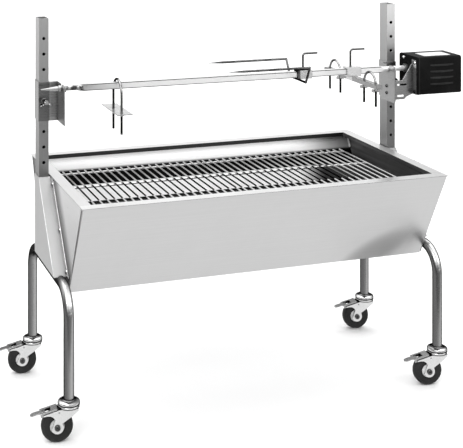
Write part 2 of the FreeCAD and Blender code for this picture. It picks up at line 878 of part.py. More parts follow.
def motor_end_plate():
    """Left end of the housing, with the bore for the output shaft."""
    shaft_bore_r = 12.06
    piece = Piece()
    bore = (0.0, dim.spit_z, shaft_bore_r)
    piece.pad("YZ", dim.mot_x, dim.mot_plate_t, [case_outline], [bore])
    piece.soften(dim.mot_corner_r, corner_edge)
    holes = [(y, z, dim.screw_hole_r) for y, z, _ in FACE_SCREWS]
    piece.pierce("YZ", dim.mot_x, dim.mot_plate_t, circles=holes)
    node("motor_end_plate", piece.body)


motor_end_plate()


def motor_screw(seat_x, y, z, sunk, length, nut_x):
    """Screw whose shank starts sunk inside the head and runs toward +X."""
    head_len = 2.8
    return fuse(
        rod(dim.screw_r, length, seat_x - sunk, y, z, ALONG_X),
        cone(3.0, 4.8, head_len, seat_x - head_len, y, z, ALONG_X),
        hexagon(dim.nut_r, dim.nut_len, nut_x, y, z, ALONG_X),
    )


# two join the bracket to the rest plate, four hold the motor face
motor_screws = [
    motor_screw(dim.rest_x, TAB_SCREW_Y, z, 1.0, 11.0, tab_x + dim.arm_t)
    for z in TAB_SCREW_Z
] + [
    motor_screw(dim.mot_x - under, y, z, 0.5, 8.0 + under, dim.mot_x + dim.mot_plate_t)
    for y, z, under in FACE_SCREWS
]
node("motor_screws", group(*motor_screws))

# gears
PRESSURE_ANGLE = math.radians(20)
ADDENDUM, DEDENDUM = 0.8, 1.1  # in modules
TOOTH_THINNING = 0.16
FLANK_STEPS = 4
GEAR_WIDTH = 9.0
gear_x = dim.mot_x.value + 8.0
toward_pinion = math.atan2(-1.0, -1.0)


def involute(angle):
    return math.tan(angle) - angle


def gear_outline(module, teeth, phase):
    """A closed outline of an involute spur gear with stub teeth."""
    pitch_r = module * teeth / 2.0
    base_r = pitch_r * math.cos(PRESSURE_ANGLE)
    tip_r = pitch_r + ADDENDUM * module
    root_r = pitch_r - DEDENDUM * module
    half_tooth = math.pi / (2 * teeth) - TOOTH_THINNING / (2 * pitch_r)
    start_r = max(base_r, root_r)
    # radius and half angle of the tooth, from root to tip
    flank = []
    for step in range(FLANK_STEPS + 1):
        radius = start_r + (tip_r - start_r) * step / FLANK_STEPS
        angle = math.acos(min(1.0, base_r / radius))
        half = half_tooth + involute(PRESSURE_ANGLE) - involute(angle)
        flank.append((radius, half))
    if root_r < start_r:
        flank.insert(0, (root_r, flank[0][1]))
    polar = []
    for k in range(teeth):
        middle = phase + 2 * math.pi * k / teeth
        polar += [(radius, middle - half) for radius, half in flank]
        polar += [(radius, middle + half) for radius, half in reversed(flank)]
    return [(r * math.cos(angle), r * math.sin(angle)) for r, angle in polar]


def gear_solid(teeth, phase, y, z):
    outline = gear_outline(dim.gear_mod.value, teeth, phase)
    points = [Vector(gear_x, y + a, z + b) for a, b in outline]
    face = Part.Face(Part.makePolygon(points + [points[0]]))
    return face.extrude(Vector(GEAR_WIDTH, 0, 0))


def output_gear():
    """Large gear with a hub to the left, a tail to the right, a square socket."""
    hub_r, hub_len, tail_r, tail_len = 12.0, 16.0, 9.0, 8.0
    socket_gap, socket_len = 0.5, 30.0
    left_x, z = dim.mot_x.value, dim.spit_z.value
    along = Vector(1, 0, 0)
    wheel = gear_solid(int(dim.gear_big.value), toward_pinion, 0.0, z)
    hub = Part.makeCylinder(hub_r, hub_len, Vector(left_x - 6.0, 0, z), along)
    tail = Part.makeCylinder(tail_r, tail_len, Vector(gear_x + 8.0, 0, z), along)
    width = dim.tang_w.value + socket_gap
    corner = Vector(left_x - 7.0, -width / 2, z - width / 2)
    socket = Part.makeBox(socket_len, width, width, corner)
    output = fresh("Part::Feature", "OutputGear")
    output.Shape = wheel.fuse(hub).fuse(tail).removeSplitter().cut(socket)
    node("output_gear", output)


def drive_pinion():
    shaft_r, shaft_len = 4.0, 16.0
    teeth = int(dim.gear_small.value)
    y, z = pinion_y.value, pinion_z.value
    # a tooth gap faces the output gear's tooth
    phase = toward_pinion + math.pi + math.pi / teeth
    wheel = gear_solid(teeth, phase, y, z)
    shaft = Part.makeCylinder(shaft_r, shaft_len, Vector(gear_x, y, z), Vector(1, 0, 0))
    pinion = fresh("Part::Feature", "Pinion")
    pinion.Shape = wheel.fuse(shaft).removeSplitter()
    node("drive_pinion", pinion)


output_gear()
drive_pinion()


def gearmotor():
    """Motor can with a mounting flange, a rear boss and its shaft bore."""
    can_r, can_len = 27.0, 70.0
    boss_r, boss_len = 10.0, 6.0
    flange_t = 3.0
    bore_r, tail_hole_r = 4.06, 10.5
    inset = dim.mot_t + 0.3
    flange_x = dim.mot_x + 19.0
    can_x = flange_x + flange_t
    can = fuse(
        rod(can_r, can_len, can_x, pinion_y, pinion_z, ALONG_X),
        box(
            flange_x,
            can_x,
            case_front + inset,
            case_back - inset,
            case_low + inset,
            pinion_z + 32.0,
        ),
        rod(boss_r, boss_len, can_x + can_len, pinion_y, pinion_z, ALONG_X),
    )
    bore = rod(bore_r, 14.0, flange_x - 1.0, pinion_y, pinion_z, ALONG_X)
    # clears the output gear's tail
    tail_hole = rod(tail_hole_r, flange_t + 0.2, flange_x - 0.1, 0, dim.spit_z, ALONG_X)
    node("gearmotor", cut(can, bore, tail_hole))


gearmotor()


def power_switch():
    """Rocker on the right end: a round bar across Y with a block behind it."""
    half_y = 12.5
    pivot_x = case_end - 4.0
    rocker = fuse(
        rod(7.0, half_y * 2, pivot_x, SOCKET_Y - half_y, SWITCH_Z, ALONG_Y),
        x_bar(case_end - 9.0, pivot_x, SOCKET_Y, SWITCH_Z, half_y, 4.0),
    )
    node("power_switch", rocker)


def power_inlet():
    """Hollow socket with a rim outside the housing and three flat pins."""

    def block(x0, x1, grow):
        """A block the size of the opening, grown all round."""
        half_y, half_z = SOCKET_HALF_Y + grow, INLET_HALF_Z + grow
        return x_bar(case_end + x0, case_end + x1, SOCKET_Y, INLET_Z, half_y, half_z)

    shell = cut(
        fuse(block(-14.0, 0.0, -0.2), block(0.0, 2.0, 3.0)),
        block(-12.0, 3.0, -3.5),
    )
    pin_pitch = 5.0
    pins = [
        x_bar(
            case_end - 12.5, case_end - 2.0, SOCKET_Y + k * pin_pitch, INLET_Z, 1.0, 2.0
        )
        for k in (-1, 0, 1)
    ]
    node("power_inlet", fuse(shell, *pins))


power_switch()
power_inlet()

# ---------------------------------------------------------------- spit
spit_z = dim.spit_z


def spit_rod():
    """Square bar with a pointed journal at the left and a drive tang at the right."""
    corner_r = 12.5  # just outside the bar's corners
    left_taper, right_taper = 24.0, 20.0
    left, right = -dim.spit_left, dim.spit_right
    half = dim.spit_w / 2
    bar = x_bar(left, right, 0, spit_z, half, half)
    # the bar's ends are turned down, so its corners run out in a taper
    round_len = right - left - (left_taper + right_taper)
    ends = fuse(
        cone(dim.journal_r + 0.5, corner_r, left_taper, left, 0, spit_z, ALONG_X),
        rod(corner_r, round_len, left + left_taper, 0, spit_z, ALONG_X),
        cone(
            corner_r,
            dim.drive_r + 0.5,
            right_taper,
            right - right_taper,
            0,
            spit_z,
            ALONG_X,
        ),
    )
    drive_x = right - 4.0
    drive_len = dim.mot_x - 7.0 - drive_x
    tang = dim.tang_w / 2
    spit = fuse(
        common(bar, ends),
        rod(dim.journal_r, 60.0, left - 54.0, 0, spit_z, ALONG_X),
        cone(1.0, dim.journal_r, 40.0, left - 94.0, 0, spit_z, ALONG_X),
        rod(dim.drive_r, drive_len, drive_x, 0, spit_z, ALONG_X),
        x_bar(dim.mot_x - 8.0, dim.mot_x + 14.0, 0, spit_z, tang, tang),
    )
    node("spit_rod", spit)


def spit_collars():
    """Rings either side of the left rest plate keep the spit in its notch."""
    rings = []
    # start from the rest plate face, width, outer radius
    for offset, width, radius in ((-8.0, 6.0, 8.0), (3.5, 7.0, 9.5)):
        x = offset - dim.rest_x
        ring = rod(radius, width, x, 0, spit_z, ALONG_X)
        bore = rod(dim.journal_r, width + 2.0, x - 1.0, 0, spit_z, ALONG_X)
        rings.append(cut(ring, bore))
    node("spit_collars", group(*rings))


spit_rod()
spit_collars()

collar_half = dim.spit_w / 2 + 0.15


def clamp_screw(x, top_z):
    """L-shaped clamp screw standing on the spit's top, its arm toward +X."""
    bar_r, corner, reach = 2.75, 7.0, 42.0
    tip_z = spit_z + collar_half - 0.05
    rotation = Rotation(Vector(-1, 0, 0), Vector(0, 0, 1), Vector(0, 1, 0), "XYZ")
    return fuse(
        rod(bar_r, top_z - corner - tip_z, x, 0, tip_z),
        bend(corner, bar_r, 90, x + corner, 0, top_z - corner, rotation),
        rod(bar_r, reach - corner, x + corner, 0, top_z, ALONG_X),
    )


def collar(x0, x1, wall, screw_x):
    """Square collar on the spit with a screw hole on top."""
    outer = collar_half + wall
    return cut(
        x_bar(x0, x1, 0, spit_z, outer, outer),
        x_bar(x0 - 1, x1 + 1, 0, spit_z, collar_half, collar_half),
        rod(2.81, 20.0, screw_x, 0, spit_z),
    )


def meat_fork():
    """Collar, cross wire under the spit, two risers and two prongs toward -X."""
    radius = 3.0
    root_x, cross_z, prong_z = 190.0, 770.0, 813.0
    cross_half, prong_half = 48.0, 72.0
    screw_x = 205.0
    arms = []
    for side in (-1, 1):
        low_y, y = side * cross_half, side * prong_half
        rise = Vector(0, y - low_y, prong_z - cross_z)
        rising = Rotation(Vector(0, 0, 1), rise)
        arms += [
            rod(radius, rise.Length, root_x, low_y, cross_z, rising),
            ball(radius, root_x, low_y, cross_z),
            ball(radius, root_x, y, prong_z),
            rod(radius, root_x, 0.0, y, prong_z, ALONG_X),
            cone(0.6, radius, 40.0, -38.0, y, prong_z, ALONG_X),
            # short sleeve over the joint of prong and point
            rod(radius, 2.5, 0.0, y, prong_z, ALONG_X),
        ]
    fork = fuse(
        collar(184.0, 226.0, 3.2, screw_x),
        rod(radius, cross_half * 2, root_x, -cross_half, cross_z, ALONG_Y),
        *arms,
    )
    node("meat_fork", fork)
    node("fork_screw", clamp_screw(screw_x, 838.0))


meat_fork()

UBOLT_WIRE_R = 3.0
UBOLT_NUT_BORE_R = 3.06


def ubolt(x, y, half, top_z, low_z):
    """U-bolt, open downward, with its legs half to either side of y."""
    rotation = Rotation(Vector(0, 1, 0), Vector(0, 0, 1), Vector(1, 0, 0), "XYZ")
    straight = top_z - half - low_z
    bolt = fuse(
        bend(half, UBOLT_WIRE_R, 180, 0, 0, 0, rotation),
        rod(UBOLT_WIRE_R, straight, 0, -half, -straight),
        rod(UBOLT_WIRE_R, straight, 0, half, -straight),
    )
    return place(bolt, x, y, top_z - half - UBOLT_WIRE_R)


def back_brace():
    """U-bolt over the spit, with a clamp plate and two nuts under it."""
    x, half = -314.6, 35.5
    plate_z, plate_t = 717.5, 2.0
    nut_len = 5.0
    node("brace_ubolt", group(ubolt(x, 0, half, 802.0, 668.6)))
    plate = cut(
        box(x - 17.0, x + 23.0, -56.0, 84.0, plate_z, plate_z + plate_t),
        *[rod(3.4, 6.0, x, y, plate_z - 2.0) for y in (-half, half)],
    )
    node("brace_plate", plate)
    nuts = [
        cut(
            hexagon(5.8, nut_len, x, y, plate_z - nut_len),
            rod(UBOLT_NUT_BORE_R, 8.0, x, y, 711.0),
        )
        for y in (-half, half)
    ]
    node("brace_nuts", group(*nuts))


back_brace()

# leg bracket: collar, crossbar, two U-bolts and four wing nuts
LEG_BRACKET_X = 352.0
BEAM_LOW, BEAM_HIGH = 760.0, 771.0
LEG_UBOLT_Y = (-97.5, 97.5)
LEG_UBOLT_HALF = 31.0
LEG_ROD_Y = [y + way * LEG_UBOLT_HALF for y in LEG_UBOLT_Y for way in (-1, 1)]


def wing_nut(y):
    """Tapered nut under the crossbar with two upright wings along X."""
    x, height = LEG_BRACKET_X, 7.0
    z = BEAM_LOW - height
    core = cone(5.0, 4.0, height, x, y, z)
    wings = []
    for way in (-1, 1):
        wing = fuse(
            rod(4.2, 1.8, 8.5, 5.0, -0.9),
            box(2.0, 9.0, 0.5, 6.0, -0.9, 0.9),
        )
        heading = Rotation(Vector(0, 0, 1), 90 + way * 90)
        upright_turn = Rotation(Vector(1, 0, 0), 90)
        wings.append(place(wing, x, y, z - 4.0, heading * upright_turn))
    return cut(fuse(core, *wings), rod(UBOLT_NUT_BORE_R, 14.0, x, y, z - 5.0))


def leg_bracket():
    x = LEG_BRACKET_X
    screw_x = x - 5.0
    beam = cut(
        box(x - 9.0, x + 9.0, -146.0, 146.0, BEAM_LOW, BEAM_HIGH),
        *[rod(3.6, 16.0, x, y, BEAM_LOW - 2.5) for y in LEG_ROD_Y],
    )
    node("leg_bracket", fuse(collar(x - 21.0, x + 21.0, 4.4, screw_x), beam))
    node("leg_bracket_screw", clamp_screw(screw_x, 842.0))
    bolts = [ubolt(x, y, LEG_UBOLT_HALF, 800.0, 715.0) for y in LEG_UBOLT_Y]
    node("leg_ubolts", group(*bolts))
    node("leg_wing_nuts", group(*[wing_nut(y) for y in LEG_ROD_Y]))


leg_bracket()

# ---------------------------------------------------------------- casters
# name, leg position
CASTERS = (
    ("front_left", -dim.leg_x, -dim.leg_front),
    ("front_right", dim.leg_x, -dim.leg_front),
    ("rear_left", -dim.leg_x, dim.leg_rear),
    ("rear_right", dim.leg_x, dim.leg_rear),
)
plug_r = dim.leg_r - dim.leg_t - 0.1

# radius, z
STEM_PROFILE = [
    (0, 137.0), (10.4, 137.0), (plug_r, 134.0), (plug_r, dim.leg_foot),
    (14.5, dim.leg_foot), (17.0, 95.6), (21.5, 95.0), (25.2, 92.6),
    (26.0, 90.5), (26.0, 87.0), (5.0, 87.0), (5.0, 76.8),
    (9.0, 76.8), (7.5, 73.5), (0, 73.5),
]
# radius, distance from the wheel's middle plane
TYRE_HALF = [
    (17.0, 9.0), (20.0, 10.6), (27.0, 12.0), (32.5, 11.6), (36.0, 9.0),
    (dim.wheel_r - 0.05, 5.0),
]
HUB_HALF = [(4.05, 14.3), (8.5, 14.3), (8.5, 10.0), (14.5, 8.0), (17.0, 8.9)]

# fork side plate, x and z: the front edge above the axle eye, then the rest
# of the outline from the eye back up to the top plate
FORK_EDGE = [(21.0, 79.5), (21.0, 74.5), (6.0, 62.0)]
FORK_TAIL = [
    (-33.4, 56.0), (-37.6, 62.0), (-44.0, 65.6), (-52.5, 66.0), (-60.5, 65.0),
    (-61.0, 67.6), (-20.5, 78.4), (-20.5, 79.5),
]
FORK_EYE_R = 14.5
PIVOT_X, PIVOT_Z = -24.0, 72.4


def caster_stem(x, y):
    """Plug in the leg tube, with the upper race and the swivel pin."""
    piece = Piece()
    piece.turn(STEM_PROFILE)
    return place(piece.body, x, y, 0)


def caster_fork():
    """Two side plates, the top plate and the lower race."""
    piece = Piece()
    eye = []
    for k in range(9):
        angle = math.radians(40 - k * 25)
        eye.append(
            (
                -dim.trail + FORK_EYE_R * math.cos(angle),
                dim.wheel_r + FORK_EYE_R * math.sin(angle),
            )
        )
    outline = FORK_EDGE + eye + FORK_TAIL
    piece.pad("XZ", -17.0, 2.5, [outline])
    piece.pad("XY", 77.1, 2.4, [rect(-20.5, 21.0, -14.6, 17.0)])
    piece.pad("XZ", 14.5, 2.5, [outline])
    piece.pad("XY", 79.4, 7.3, circles=[(0, 0, 25.0)])
    # holes for the swivel pin, the axle and the pedal pivots
    piece.pocket("XY", 76.0, 12.0, circles=[(0, 0, 5.05)])
    piece.pocket("XZ", -20.0, 40.0, circles=[(-dim.trail, dim.wheel_r, 4.06)])
    piece.pocket("XZ", -20.0, 40.0, circles=[(PIVOT_X, PIVOT_Z, 2.06)])
    return piece.body


def wheel_part(half_profile):
    """A ring turned about the axle."""
    piece = Piece()
    piece.turn(above_and_below(half_profile))
    return group(place(piece.body, -dim.trail, 0, dim.wheel_r, ALONG_Y))


def caster_axle():
    """Bolt with a round head at -Y, a hexagon recess in it and a nut at +Y."""
    x, z = -dim.trail, dim.wheel_r
    return group(
        cut(
            fuse(
                rod(4.0, 38.0, x, -19.0, z, ALONG_Y),
                rod(6.5, 3.4, x, -20.4, z, ALONG_Y),
                hexagon(7.2, 4.5, x, 17.0, z, ALONG_Y),
            ),
            hexagon(2.9, 2.4, x, -20.6, z, ALONG_Y),
        )
    )


def caster_pedal():
    """Brake pedal: slotted lever with a thumb tab, on two short pivot pins."""
    thick = 2.2
    tilt = Rotation(Vector(0, 1, 0), -14.5)
    plate = cut(
        box(-42.5, -1.5, -14.0, 14.0, 0.0, thick),
        box(-37.5, -17.0, -9.0, 9.0, -1.0, thick + 1.0),
    )
    skirts = [box(-42.5, -1.5, y, y + 1.8, -6.4, 0.4) for y in (-14.0, 12.2)]
    tab = fuse(
        box(-58.0, -41.5, -8.0, 8.0, 0.0, thick),
        rod(8.0, thick, -58.0, 0.0, 0.0),
    )
    shoe = box(-36.5, -31.0, -9.5, 9.5, -6.6, 0.4)
    lever = fuse(plate, *skirts, tab, shoe)
    place(lever, -26.6, 0, 79.0, tilt)
    # each ear is a disc inside the fork with a pin through its side plate
    ears = [
        fuse(
            rod(4.2, 1.9, PIVOT_X, disc_y, PIVOT_Z, ALONG_Y),
            rod(2.0, 4.5, PIVOT_X, pin_y, PIVOT_Z, ALONG_Y),
        )
        for disc_y, pin_y in ((-14.1, -16.8), (12.2, 12.3))
    ]
    return group(fuse(lever, *ears))


node("caster_stems", group(*[caster_stem(x, y) for _, x, y in CASTERS]))

for key, x, y in CASTERS:
    heading = dim.caster_turn.value
    node(key + "_fork", caster_fork(), x, y, 0, heading)
    node(key + "_tyre", wheel_part(TYRE_HALF), x, y, 0, heading)
    node(key + "_hub", wheel_part(HUB_HALF), x, y, 0, heading)
    node(key + "_axle", caster_axle(), x, y, 0, heading)
    node(key + "_pedal", caster_pedal(), x, y, 0, heading)

# ---------------------------------------------------------------- write
doc.recompute()
for item in doc.Objects:
    if "Invalid" in item.State or "Error" in item.State:
        raise RuntimeError("%s (%s) failed: %s" % (item.Name, item.Label, item.State))
for name, item in NODES:
    if item.Shape.isNull() or not item.Shape.isValid() or not item.Shape.Solids:
        raise RuntimeError("%s has no valid solid" % name)
for name, item in NODES:
    item.Shape.exportStep("parts/%s.step" % name)
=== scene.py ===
import math

import bpy
from mathutils import Matrix, Vector


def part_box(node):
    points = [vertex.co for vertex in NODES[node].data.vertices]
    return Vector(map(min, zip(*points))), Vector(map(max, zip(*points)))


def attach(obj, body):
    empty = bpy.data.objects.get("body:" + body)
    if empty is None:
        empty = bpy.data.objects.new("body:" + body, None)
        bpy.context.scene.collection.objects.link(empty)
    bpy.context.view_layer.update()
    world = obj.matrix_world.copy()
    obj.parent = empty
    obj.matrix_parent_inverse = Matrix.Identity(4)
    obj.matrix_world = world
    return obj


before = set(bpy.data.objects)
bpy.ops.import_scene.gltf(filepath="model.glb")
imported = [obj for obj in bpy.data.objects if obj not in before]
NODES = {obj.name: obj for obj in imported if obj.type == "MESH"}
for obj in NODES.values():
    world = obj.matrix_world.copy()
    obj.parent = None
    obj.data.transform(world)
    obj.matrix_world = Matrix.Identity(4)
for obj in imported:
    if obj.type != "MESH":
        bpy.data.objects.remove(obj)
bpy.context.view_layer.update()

# Millimetres from the middle of the trough are used below; MID is that middle.
_lo, _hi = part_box("front_panel")
MID = (_lo.x + _hi.x) / 2


def mm(x, y, z):
    return Vector((x / 1000 + MID, y / 1000, z / 1000))


# ------------------------------------------------------------------ materials
class Net:
    """Short names for building one material's node tree."""

    def __init__(self, name):
        self.mat = bpy.data.materials.new(name)
        self.mat.use_nodes = True
        self.t = self.mat.node_tree
        self.t.nodes.clear()
        self.out = self.t.nodes.new("ShaderNodeOutputMaterial")
        self.bsdf = self.t.nodes.new("ShaderNodeBsdfPrincipled")
        self.t.links.new(self.bsdf.outputs[0], self.out.inputs[0])
        self.co = self.t.nodes.new("ShaderNodeTexCoord").outputs["Object"]

    def put(self, socket, value):
        if isinstance(value, bpy.types.NodeSocket):
            self.t.links.new(value, socket)
        else:
            socket.default_value = value

    def set(self, **kw):
        for k, v in kw.items():
            self.put(self.bsdf.inputs[k.replace("_", " ")], v)

    def scaled(self, sx, sy, sz, rx=0.0, ry=0.0, rz=0.0):
        n = self.t.nodes.new("ShaderNodeMapping")
        self.t.links.new(self.co, n.inputs[0])
        n.inputs["Scale"].default_value = (sx, sy, sz)
        n.inputs["Rotation"].default_value = (rx, ry, rz)
        return n.outputs[0]

    def noise(self, vec, scale, detail=4.0, rough=0.55, distort=0.0):
        n = self.t.nodes.new("ShaderNodeTexNoise")
        self.t.links.new(vec, n.inputs["Vector"])
        n.inputs["Scale"].default_value = scale
        n.inputs["Detail"].default_value = detail
        n.inputs["Roughness"].default_value = rough
        n.inputs["Distortion"].default_value = distort
        return n.outputs[0]

    def cells(self, vec, scale):
        n = self.t.nodes.new("ShaderNodeTexVoronoi")
        self.t.links.new(vec, n.inputs["Vector"])
        n.inputs["Scale"].default_value = scale
        return n.outputs["Distance"]

    def remap(self, v, a, b, c, e, smooth=False):
        n = self.t.nodes.new("ShaderNodeMapRange")
        if smooth:
            n.interpolation_type = "SMOOTHSTEP"
        self.t.links.new(v, n.inputs["Value"])
        for i, x in zip((1, 2, 3, 4), (a, b, c, e)):
            n.inputs[i].default_value = x
        return n.outputs[0]

    def math(self, op, a, b=0.0, clamp=False):
        n = self.t.nodes.new("ShaderNodeMath")
        n.operation = op
        n.use_clamp = clamp
        self.put(n.inputs[0], a)
        self.put(n.inputs[1], b)
        return n.outputs[0]

    def mix(self, f, a, b):
        n = self.t.nodes.new("ShaderNodeMix")
        n.data_type = "RGBA"
        self.put(n.inputs["Factor"], f)
        self.put(n.inputs["A"], a)
        self.put(n.inputs["B"], b)
        return n.outputs["Result"]

    def grey(self, v):
        n = self.t.nodes.new("ShaderNodeCombineColor")
        for i in range(3):
            self.put(n.inputs[i], v)
        return n.outputs[0]

    def xyz(self):
        n = self.t.nodes.new("ShaderNodeSeparateXYZ")
        self.t.links.new(self.co, n.inputs[0])
        return n.outputs

    def facing(self):
        g = self.t.nodes.new("ShaderNodeNewGeometry")
        n = self.t.nodes.new("ShaderNodeSeparateXYZ")
        self.t.links.new(g.outputs["True Normal"], n.inputs[0])
        return n.outputs

    def painted_by_view(self, seen, plain):
        """Mirror-like steel, painted by view: one painted tone where the eye stands before the front left
        corner, a plain painted tone from everywhere else, with a soft change between."""
        g = self.t.nodes.new("ShaderNodeNewGeometry")
        dot = self.t.nodes.new("ShaderNodeVectorMath")
        dot.operation = "DOT_PRODUCT"
        self.t.links.new(g.outputs["Incoming"], dot.inputs[0])
        dot.inputs[1].default_value = Vector((-1.176, -2.8245, 0.849)).normalized()
        k = self.remap(dot.outputs["Value"], 0.915, 0.960, 0.0, 1.0, smooth=True)
        return self.math("ADD", self.math("MULTIPLY", seen, k), self.math("MULTIPLY", plain, self.math("SUBTRACT", 1.0, k)))

    def darken(self, masks, level):
        """1 where any mask is 0, level where all masks are 1."""
        k = masks[0]
        for m in masks[1:]:
            k = self.math("MULTIPLY", k, m)
        return self.math("SUBTRACT", 1.0, self.math("MULTIPLY", k, 1.0 - level))

    def rim(self, level, start=0.22, end=0.80):
        """Painted dark reflection: 1 facing the eye, falling to level where a round surface turns away."""
        n = self.t.nodes.new("ShaderNodeLayerWeight")
        n.inputs["Blend"].default_value = 0.5
        return self.remap(n.outputs["Facing"], start, end, 1.0, level, smooth=True)

    def crevice(self, reach, level):
        """Painted shade: 1 in the open, falling to level in gaps and under edges."""
        n = self.t.nodes.new("ShaderNodeAmbientOcclusion")
        n.samples = 4
        n.inputs["Distance"].default_value = reach
        return self.remap(n.outputs["AO"], 0.25, 0.85, level, 1.0)

    def bevel(self, radius, samples=4):
        n = self.t.nodes.new("ShaderNodeBevel")
        n.samples = samples
        n.inputs["Radius"].default_value = radius
        return n.outputs[0]

    def edges(self, rounded):
        """1 on edges, 0 on flats, from how far the rounded normal leans."""
        g = self.t.nodes.new("ShaderNodeNewGeometry")
        dot = self.t.nodes.new("ShaderNodeVectorMath")
        dot.operation = "DOT_PRODUCT"
        self.t.links.new(rounded, dot.inputs[0])
        self.t.links.new(g.outputs["Normal"], dot.inputs[1])
        return self.remap(dot.outputs["Value"], 0.99, 0.86, 0.0, 1.0)

    def bump(self, height, strength, distance, normal=None):
        n = self.t.nodes.new("ShaderNodeBump")
        n.inputs["Strength"].default_value = strength
        n.inputs["Distance"].default_value = distance
        self.put(n.inputs["Height"], height)
        if normal is not None:
            self.t.links.new(normal, n.inputs["Normal"])
        return n.outputs[0]


GRAIN = {"X": (5, 700, 700), "Y": (700, 5, 700), "Z": (700, 700, 5), "N": (90, 90, 90)}


def steel(
    name,
    base=0.62,
    rough=0.33,
    along="X",
    grain=0.10,
    lift=0.35,
    edge_tone=0.25,
    tint=(1.0, 1.0, 1.0),
    edge=0.0008,
    shade=None,
    metallic=1.0,
    rim=None,
    gap=None,
    metal_mask=None,
    glow=None,
):
    """Rolled or plated metal: brushed lines, smudges, pits and brighter rubbed edges; a negative edge tone paints
    dark edge lines instead. Rim, gap and shade masks paint shade and reflections into the colour, and glow paints
    light.
    """
    n = Net(name)
    sx, sy, sz = GRAIN[along]
    lines = n.noise(n.scaled(sx, sy, sz), 1.0, 5.0, 0.62)
    long_lines = n.noise(n.scaled(sx * 0.28, sy * 0.28, sz * 0.28), 1.0, 3.0, 0.5)
    smudge = n.noise(n.co, 7.0, 4.0, 0.6, 0.4)
    pits = n.noise(n.co, 1400.0, 2.0, 0.5)
    rounded = n.bevel(edge)
    edge_mask = n.edges(rounded)
    tone = n.math("MULTIPLY", n.remap(lines, 0.3, 0.7, 1 - grain * 0.8, 1 + grain * 0.6), n.remap(smudge, 0.3, 0.7, 0.965, 1.02))
    tone = n.math("MULTIPLY", tone, n.remap(long_lines, 0.3, 0.7, 1 - grain * 0.18, 1 + grain * 0.15))
    # the same painted shade masks also dim the reflection at grazing angles
    glint = n.math("ADD", 0.0, 1.0)
    if rim is not None:
        tone = n.math("MULTIPLY", tone, n.rim(rim))
        glint = n.math("MULTIPLY", glint, rim)
    if gap is not None:
        # painted shade in gaps and under edges
        crevice_shade = n.crevice(gap[0], gap[1])
        tone = n.math("MULTIPLY", tone, crevice_shade)
        glint = n.math("MULTIPLY", glint, crevice_shade)
    if shade is not None:
        mask = shade(n)
        tone = n.math("MULTIPLY", tone, mask)
        glint = n.math("MULTIPLY", glint, n.math("MINIMUM", mask, 1.0))
    # a negative edge tone paints dark lines along the edges, standing in for shade and dark reflections there, and
    # dims their reflection; a positive one brightens rubbed edges
    if edge_tone < 0:
        glint = n.math("MULTIPLY", glint, n.math("SUBTRACT", 1.0, n.math("MULTIPLY", edge_mask, 0.9)))
    tone = n.math("MULTIPLY", tone, base)
    tone = n.math("ADD", tone, n.math("MULTIPLY", edge_mask, edge_tone * 0.5))
    tone = n.math("MAXIMUM", n.math("MINIMUM", tone, 0.96), 0.002)
    col = n.t.nodes.new("ShaderNodeCombineColor")
    for i in range(3):
        n.put(col.inputs[i], n.math("MULTIPLY", tone, tint[i]))
    r = n.math("ADD", n.remap(lines, 0.3, 0.7, rough - grain * 0.6, rough + grain * 0.7), n.remap(smudge, 0.3, 0.7, -0.03, 0.04))
    r = n.math("SUBTRACT", r, n.math("MULTIPLY", edge_mask, 0.08))
    r = n.math("MAXIMUM", r, 0.04)
    h = n.math("ADD", n.math("MULTIPLY", lines, 1.0), n.math("MULTIPLY", pits, 0.35))
    n.set(
        Base_Color=col.outputs[0],
        Metallic=metallic if metal_mask is None else metal_mask(n),
        Roughness=r,
        Normal=n.bump(h, lift, 0.00006, rounded),
        Specular_IOR_Level=n.math("MULTIPLY", glint, 0.5),
        Specular_Tint=n.grey(glint),
    )
    if glow is not None:
        n.set(Emission_Color=(1.0, 1.0, 1.0, 1.0), Emission_Strength=glow(n))
    return n.mat


def dark_polymer(name, base=0.02, rough=0.42, grain=0.25, edge_tone=0.06, edge=0.0012, scale=900.0, level=0.5):
    """Powder coat, moulded plastic and rubber: fine orange peel, dust, edge rub."""
    n = Net(name)
    peel = n.noise(n.co, scale, 3.0, 0.5)
    fine = n.cells(n.co, scale * 1.6)
    dust = n.noise(n.co, 22.0, 5.0, 0.65, 0.3)
    rounded = n.bevel(edge)
    edge_mask = n.edges(rounded)
    tone = n.remap(dust, 0.35, 0.75, base * 0.8, base * 1.6)
    tone = n.math("MULTIPLY", tone, n.remap(peel, 0.3, 0.7, 0.85, 1.2))
    tone = n.math("ADD", tone, n.math("MULTIPLY", edge_mask, edge_tone))
    r = n.math("ADD", n.remap(peel, 0.3, 0.7, rough - 0.06, rough + 0.08), n.remap(dust, 0.35, 0.75, -0.04, 0.08))
    h = n.math("ADD", peel, n.math("MULTIPLY", fine, 0.4))
    n.set(
        Base_Color=n.grey(tone),
        Metallic=0.0,
        Roughness=r,
        Normal=n.bump(h, grain, 0.00012, rounded),
        Specular_IOR_Level=level,
    )
    return n.mat


def front_shade(n):
    """Front panel: painted shade, a little darker low down, and a painted dark reflection of the leg toward the
    right-hand bottom corner.
    """
    p = n.xyz()
    low = n.remap(p[2], 0.56, 0.33, 1.0, 0.93)
    dx = n.math("SUBTRACT", p[0], MID + 0.330)
    dz = n.math("SUBTRACT", p[2], 0.335)
    u = n.math("DIVIDE", n.math("ADD", dx, n.math("MULTIPLY", dz, -0.8)), 0.085)
    v = n.math("DIVIDE", dz, 0.085)
    rr = n.math("ADD", n.math("MULTIPLY", u, u), n.math("MULTIPLY", v, v))
    spot = n.remap(rr, 0.0, 1.0, 0.62, 1.0, smooth=True)
    return n.math("MULTIPLY", low, spot)


